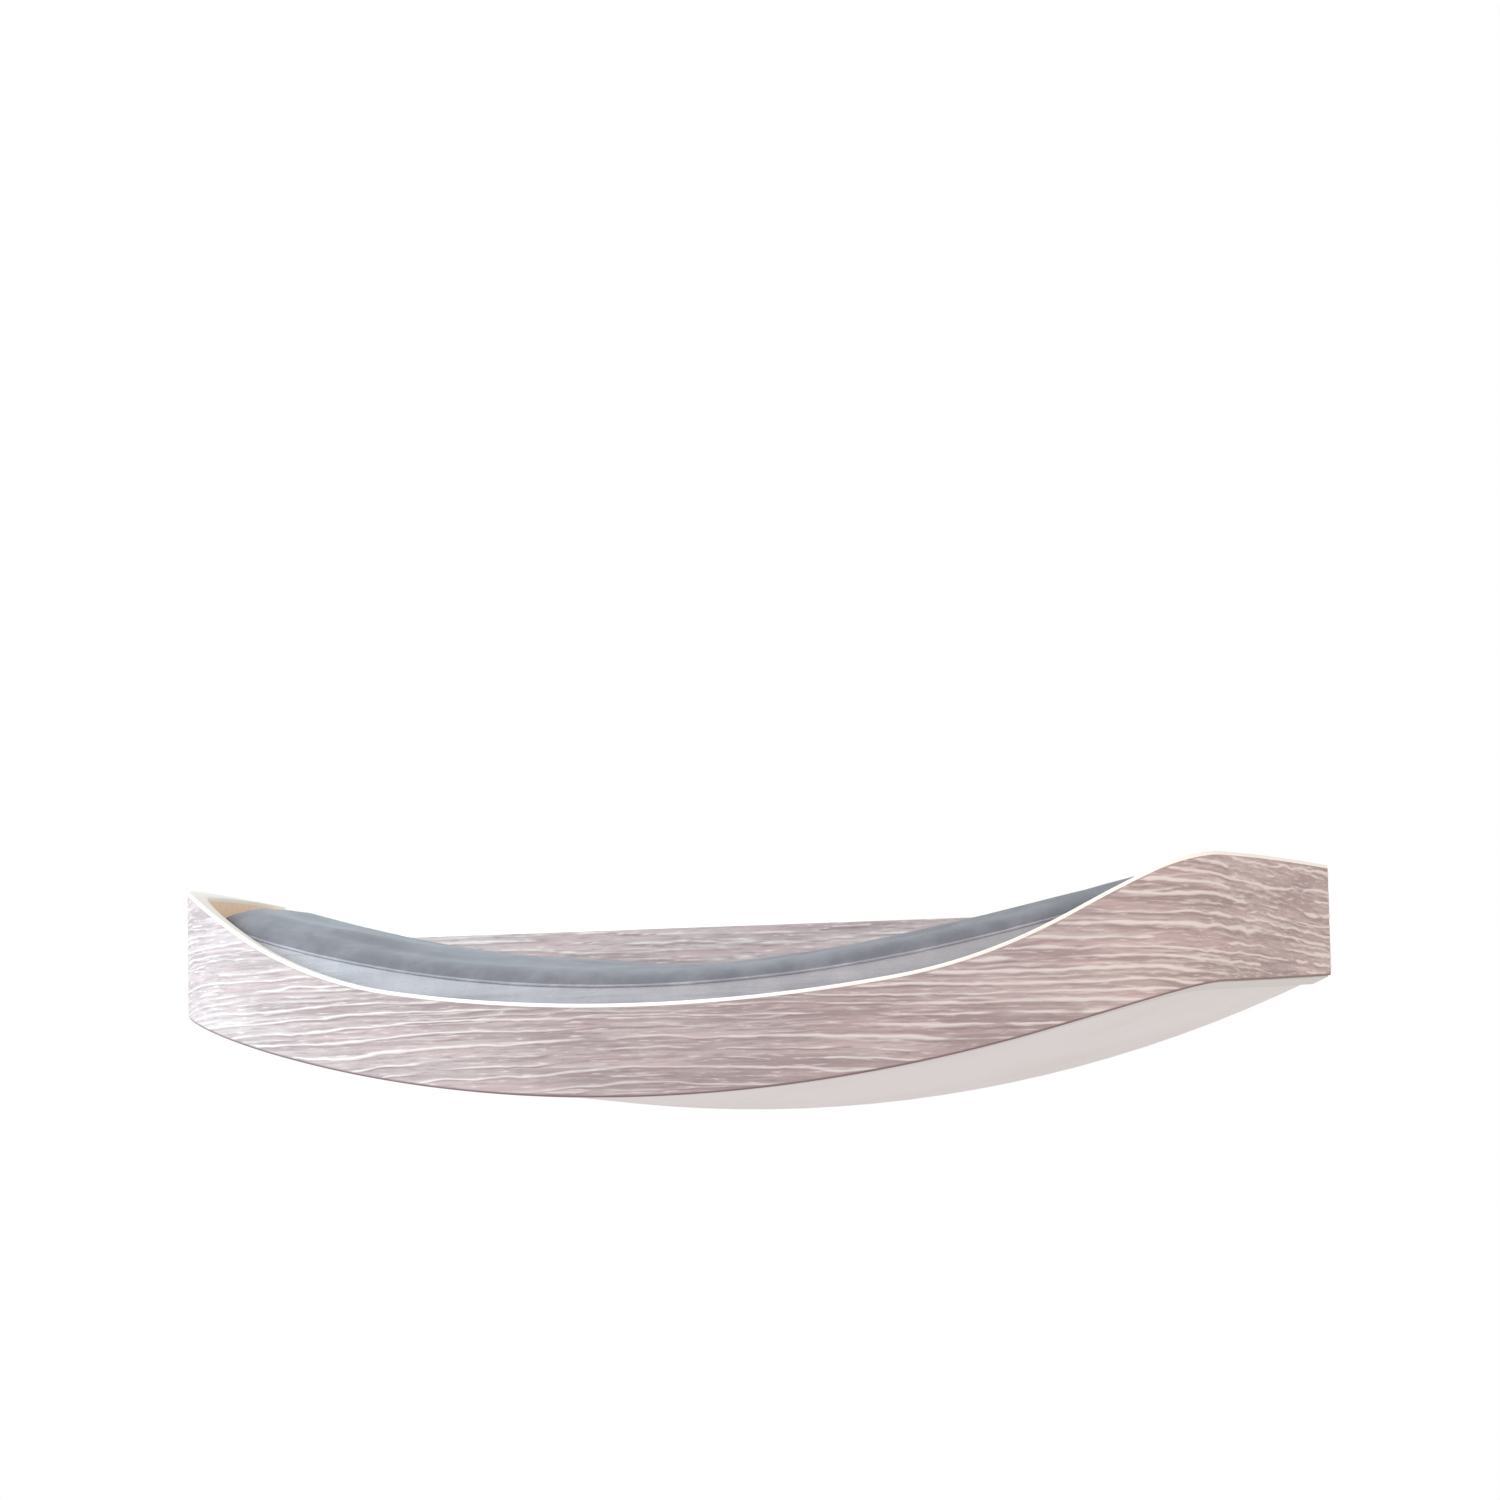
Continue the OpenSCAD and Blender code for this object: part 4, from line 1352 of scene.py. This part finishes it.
        # Broad waves cross the panels. The lining and the seam itself stay where they are.
        wave = np.where(place == 2, self.top_wave, self.side_wave)[:, None]
        broad = wave * swing(rings[..., 0] / self.wave_across, rings[..., 1] / self.wave_deep, 9)
        free = np.where(place == 0, 0.0, 1.0)[:, None] * (1 - np.exp(-rows_off / self.held_rows))
        rings = rings + self.normals(rings) * ((pucker + broad) * free)[..., None]
        top = self.shell("velvet_top", rings[seam:], Looks.VELVET, pole=-1)
        foot = seam - self.side_rows + 1
        side = self.shell("velvet_side", rings[foot : seam + 1], Looks.SIDE, pole=None)
        base = self.shell("woven_base", rings[: foot + 1], Looks.LINING, pole=0)
        cord = self.cord(rings[seam])
        panels = (
            (top, ("cushion_top", "cushion_foam")),
            (side, ("cushion_boxing",)),
            (base, ("cushion_bottom",)),
            (cord, ("cushion_piping",)),
        )
        for piece, nodes in panels:
            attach(piece, "cushion")
            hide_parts(*nodes)

    def cord(self, path: Array) -> bpy.types.Object:
        """The corded seam: a circle carried round the seam's loop, its radius uneven like wrapped cloth.

        Args:
            path: the points of the seam.

        Returns:
            The object.
        """
        ahead = np.roll(path, -1, 0) - np.roll(path, 1, 0)
        ahead /= np.linalg.norm(ahead, axis=1, keepdims=True)
        out = np.cross(ahead, [0.0, 0.0, 1.0])
        out /= np.linalg.norm(out, axis=1, keepdims=True)
        up = np.cross(out, ahead)
        angle = np.linspace(0, 2 * np.pi, self.cord_sides, endpoint=False)[:, None]
        wobble = swing(np.arange(self.around)[None, :] * 0.9, angle * 0.7, 31)
        radius = self.cord_r * (1 + self.cord_wobble * wobble)
        circle = np.cos(angle)[..., None] * out + np.sin(angle)[..., None] * up
        points = path + radius[..., None] * circle
        return self.pieces.sweep("seam_cord", points, Looks.PIPING, closed=True)


@dataclass
class Fittings:
    """What holds the cushion and closes its cover: hook and loop strips, and the zip's teeth."""

    form: ShelfForm
    pieces: Pieces
    cushion: Cushion
    strip_l: float = 120.0
    strip_w: float = 20.0
    strip_span: float = 120.0
    loop_t: float = 1.0
    strip_rows: int = 40
    strip_columns: int = 220
    nap_h: float = 0.35
    nap_pitch: float = 0.9
    slack: float = 0.3
    zip_l: float = 300.0
    tape_t: float = 0.8
    tooth_pitch: float = 1.5
    tooth_foot: float = 2.1
    tooth_reach: float = 2.9
    tooth_stand: float = 0.9
    tooth_arch: float = 0.45
    wire_r: float = 0.36
    bends: int = 8
    sides: int = 6

    def build(self) -> None:
        """Make the strips, two loop halves on the shelf and two hook halves on the cushion, and the teeth."""
        glue = self.form.glue_gap
        halves = (
            ("loop", "shelf", glue, self.loop_t, 3),
            ("hook", "cushion", self.cushion.lift - glue, self.loop_t + self.slack, 4),
        )
        off = self.strip_span / 2
        for name, body, flat, fuzzy, seed in halves:
            front = self.strip(f"{name}_strip_front", -off, flat, fuzzy, seed)
            rear = self.strip(f"{name}_strip_rear", off, flat, fuzzy, seed + 1)
            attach(front, body)
            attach(rear, body)
            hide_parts(f"{name}_strips")
        teeth = self.teeth()
        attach(teeth, "cushion")
        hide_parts("zip_coil")

    def strip(self, name: str, y_off: float, flat: float, fuzzy: float, seed: int) -> bpy.types.Object:
        """One strip over the base's curve: a flat back and a fuzzy face.

        Args:
            name: the piece's name.
            y_off: its middle, from the cushion's.
            flat: height of its back above the base.
            fuzzy: height of its face above the base.
            seed: which fuzz.

        Returns:
            The object.
        """
        across = np.concatenate([[-0.5], np.linspace(-0.5, 0.5, self.strip_rows), [0.5]])
        x, y = np.meshgrid(
            np.linspace(-self.strip_l / 2, self.strip_l / 2, self.strip_columns),
            self.cushion.middle[1] + y_off + self.strip_w * across,
        )
        nap = self.nap_h * lattice_noise(x / self.nap_pitch, y / self.nap_pitch, seed)
        h = fuzzy - nap if flat < fuzzy else fuzzy + nap
        h[[0, -1]] = flat
        z = self.form.arc(x, self.form.base_t) + h
        return self.pieces.sweep(name, np.stack([x, y, z], -1), Looks.STRIP, sharp=80.0)

    def teeth(self) -> bpy.types.Object:
        """The zip's coil: wire arches from either side that overlap on its middle line.

        Each arch is half an ellipse with a circle carried along it, and the arches stand along the zip's arc.

        Returns:
            The object.
        """
        radius = self.form.base_r - self.form.base_t
        centre_z = self.form.base_r + self.cushion.lift + self.cushion.seam_h / 2
        reach = math.asin(self.zip_l / 2 / radius)
        count = int(self.zip_l / self.tooth_pitch)
        angle = np.linspace(-reach, reach, count)
        side = np.where(np.arange(count) % 2 == 0, 1.0, -1.0)
        bend = np.linspace(0, np.pi, self.bends)
        ring = np.linspace(0, 2 * np.pi, self.sides, endpoint=False)
        across = side[:, None] * (self.tooth_foot - self.tooth_reach * np.sin(bend))
        out = np.broadcast_to(self.tooth_stand - self.tooth_arch * np.cos(bend), across.shape)
        inward = -self.tooth_reach * np.cos(bend) * side[:, None]
        outward = np.broadcast_to(self.tooth_arch * np.sin(bend), across.shape)
        ahead = np.stack([inward, outward])
        ahead = (ahead / np.hypot(*ahead))[..., None]
        r = radius - across[..., None] + self.wire_r * np.sin(ring) * ahead[1]
        depth = out[..., None] + self.wire_r * np.sin(ring) * ahead[0]
        turned = angle[:, None, None] + self.wire_r * np.cos(ring) / radius
        x = r * np.sin(turned)
        z = centre_z - r * np.cos(turned)
        y = self.cushion.rear_y + self.slack + self.tape_t + depth
        points = np.stack(np.broadcast_arrays(x, y, z), -1)
        foot, size = np.arange(self.sides), self.bends * self.sides
        shell = self.pieces.quads(self.bends, self.sides, False, True)
        tooth = [*shell, foot[::-1], foot + size - self.sides]
        faces = [corners + number * size for number in range(count) for corners in tooth]
        return self.pieces.mesh("zip_teeth", points.reshape(-1, 3), faces, Looks.COIL)


@dataclass(frozen=True)
class SoftLight:
    """A square soft light: its place and what it faces, in metres, its side, its watts and its colour."""

    name: str
    at: Triple
    to: Triple
    size: float
    power: float
    colour: Triple

    def build(self) -> None:
        """Put the light on the stage, out of the camera's sight."""
        lamp = bpy.data.lights.new(self.name, "AREA")
        lamp.size, lamp.energy, lamp.color = self.size, self.power, self.colour
        placed = bpy.data.objects.new(self.name, lamp)
        placed.location = self.at
        placed.visible_camera = False
        placed.rotation_euler = (Vector(self.to) - Vector(self.at)).to_track_quat("-Z", "Y").to_euler()
        bpy.context.scene.collection.objects.link(placed)


@dataclass
class Studio:
    """Pale floor, soft light and the camera at the photograph's place."""

    form: ShelfForm
    camera_at: Triple = (531.2, -2226.8, -70.8)
    pitch: float = 5.885
    yaw: float = -13.776
    roll: float = -1.114
    lens: float = 120.0
    floor_half: float = 30.0
    floor_z: float = -2.6
    floor_glow: float = 0.19
    sky_seen: float = 1.0
    sky_light: float = 0.56
    lights: tuple[SoftLight, ...] = (
        SoftLight("key", (-0.5, -2.1, 1.1), (0.0, -0.15, 0.0), 1.5, 13.0, (0.98, 0.99, 1.0)),
        SoftLight("left", (-0.84, -0.42, 0.38), (-0.22, -0.15, 0.0), 0.4, 11.5, (0.7, 0.93, 1.0)),
        SoftLight("front", (0.1, -2.4, 0.8), (0.05, -0.15, 0.0), 1.6, 9.5, (1.0, 0.97, 0.96)),
        SoftLight("fill", (2.0, -0.5, 0.65), (-0.2, -0.15, 0.0), 1.2, 17.5, (1.0, 0.85, 0.7)),
    )

    def build(self) -> None:
        """Set the stage."""
        bpy.context.scene.view_settings.view_transform = "Standard"
        self.floor()
        self.sky()
        for light in self.lights:
            light.build()
        self.view()

    def floor(self) -> None:
        """A wide pale floor well below the shelf."""
        mesh = bpy.data.meshes.new("floor")
        half, z = self.floor_half, self.floor_z
        corners = [(-half, -half, z), (half, -half, z), (half, half, z), (-half, half, z)]
        mesh.from_pydata(corners, [], [(0, 1, 2, 3)])
        floor = bpy.data.objects.new("floor", mesh)
        ground = Graph("pale_floor")
        ground.surface(Base_Color=srgb(246, 246, 246), Roughness=0.9)
        ground.surface(Emission_Color=srgb(255, 255, 255), Emission_Strength=self.floor_glow)
        mesh.materials.append(ground.material)
        bpy.context.scene.collection.objects.link(floor)

    def sky(self) -> None:
        """White surroundings that light the shelf less than they show."""
        world = bpy.data.worlds.new("studio")
        world.use_nodes = True
        tree = world.node_tree
        tree.nodes.clear()
        seen = tree.nodes.new("ShaderNodeBackground")
        lit = tree.nodes.new("ShaderNodeBackground")
        seen.inputs["Color"].default_value = (1.0, 1.0, 1.0, 1.0)
        seen.inputs["Strength"].default_value = self.sky_seen
        lit.inputs["Color"].default_value = (0.97, 0.98, 1.0, 1.0)
        lit.inputs["Strength"].default_value = self.sky_light
        path = tree.nodes.new("ShaderNodeLightPath")
        blend = tree.nodes.new("ShaderNodeMixShader")
        end = tree.nodes.new("ShaderNodeOutputWorld")
        tree.links.new(path.outputs["Is Camera Ray"], blend.inputs[0])
        tree.links.new(lit.outputs[0], blend.inputs[1])
        tree.links.new(seen.outputs[0], blend.inputs[2])
        tree.links.new(blend.outputs[0], end.inputs[0])
        bpy.context.scene.world = world

    def view(self) -> None:
        """The camera: forward from yaw and pitch, rolled about it."""
        pitch, yaw, roll = (math.radians(a) for a in (self.pitch, self.yaw, self.roll))
        level = math.cos(pitch)
        ahead = np.array([math.sin(yaw) * level, math.cos(yaw) * level, math.sin(pitch)])
        right = np.array([math.cos(yaw), -math.sin(yaw), 0.0])
        up = np.cross(right, ahead)
        side = math.cos(roll) * right + math.sin(roll) * up
        top = -math.sin(roll) * right + math.cos(roll) * up
        lens = bpy.data.cameras.new("camera")
        lens.sensor_width, lens.lens, lens.clip_end = 36.0, self.lens, 100.0
        camera = bpy.data.objects.new("camera", lens)
        turn = Matrix(np.stack([side, top, -ahead], 1).tolist())
        at = (np.array(self.camera_at) - (0, 0, self.form.hole_h)) / PER_METRE
        camera.matrix_world = Matrix.Translation(Vector(at)) @ turn.to_4x4()
        bpy.context.scene.collection.objects.link(camera)
        bpy.context.scene.camera = camera


SOLIDS: Mapping[str, Looks] = {
    "base_board": Looks.PLY,
    "base_laminate": Looks.WHITE,
    "back_panel": Looks.PLY,
    "corner_block_left": Looks.BLOCK,
    "corner_block_right": Looks.BLOCK,
    "corner_screws": Looks.ZINC,
    "panel_dowels": Looks.DOWEL,
    "zip_tape": Looks.TAPE,
    "zip_slider": Looks.NICKEL,
    "zip_puller": Looks.NICKEL,
}


def dress(nodes: Mapping[str, bpy.types.Object]) -> None:
    """Give each solid that keeps its shape its finish.

    Args:
        nodes: the solids, by name.
    """
    for name, look in SOLIDS.items():
        for place in nodes[name].material_slots:
            place.material = look.value.material()
        LOG.info("%s: %s", name, look.value.name)


def main() -> None:
    """Build the shelf's looks piece by piece."""
    logging.basicConfig(level=logging.INFO, format="%(name)s: %(message)s")
    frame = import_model()
    form = ShelfForm()
    pieces = Pieces(form)
    cushion = Cushion(form, pieces)
    for assembly in (Band(form, pieces), Back(form, pieces), cushion, Fittings(form, pieces, cushion)):
        assembly.build()
    dress(frame["nodes"])
    for piece in pieces.made:
        LOG.info("%s: %d faces", piece.name, len(piece.data.polygons))
    Studio(form).build()
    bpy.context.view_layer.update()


if __name__ == "__main__":
    main()
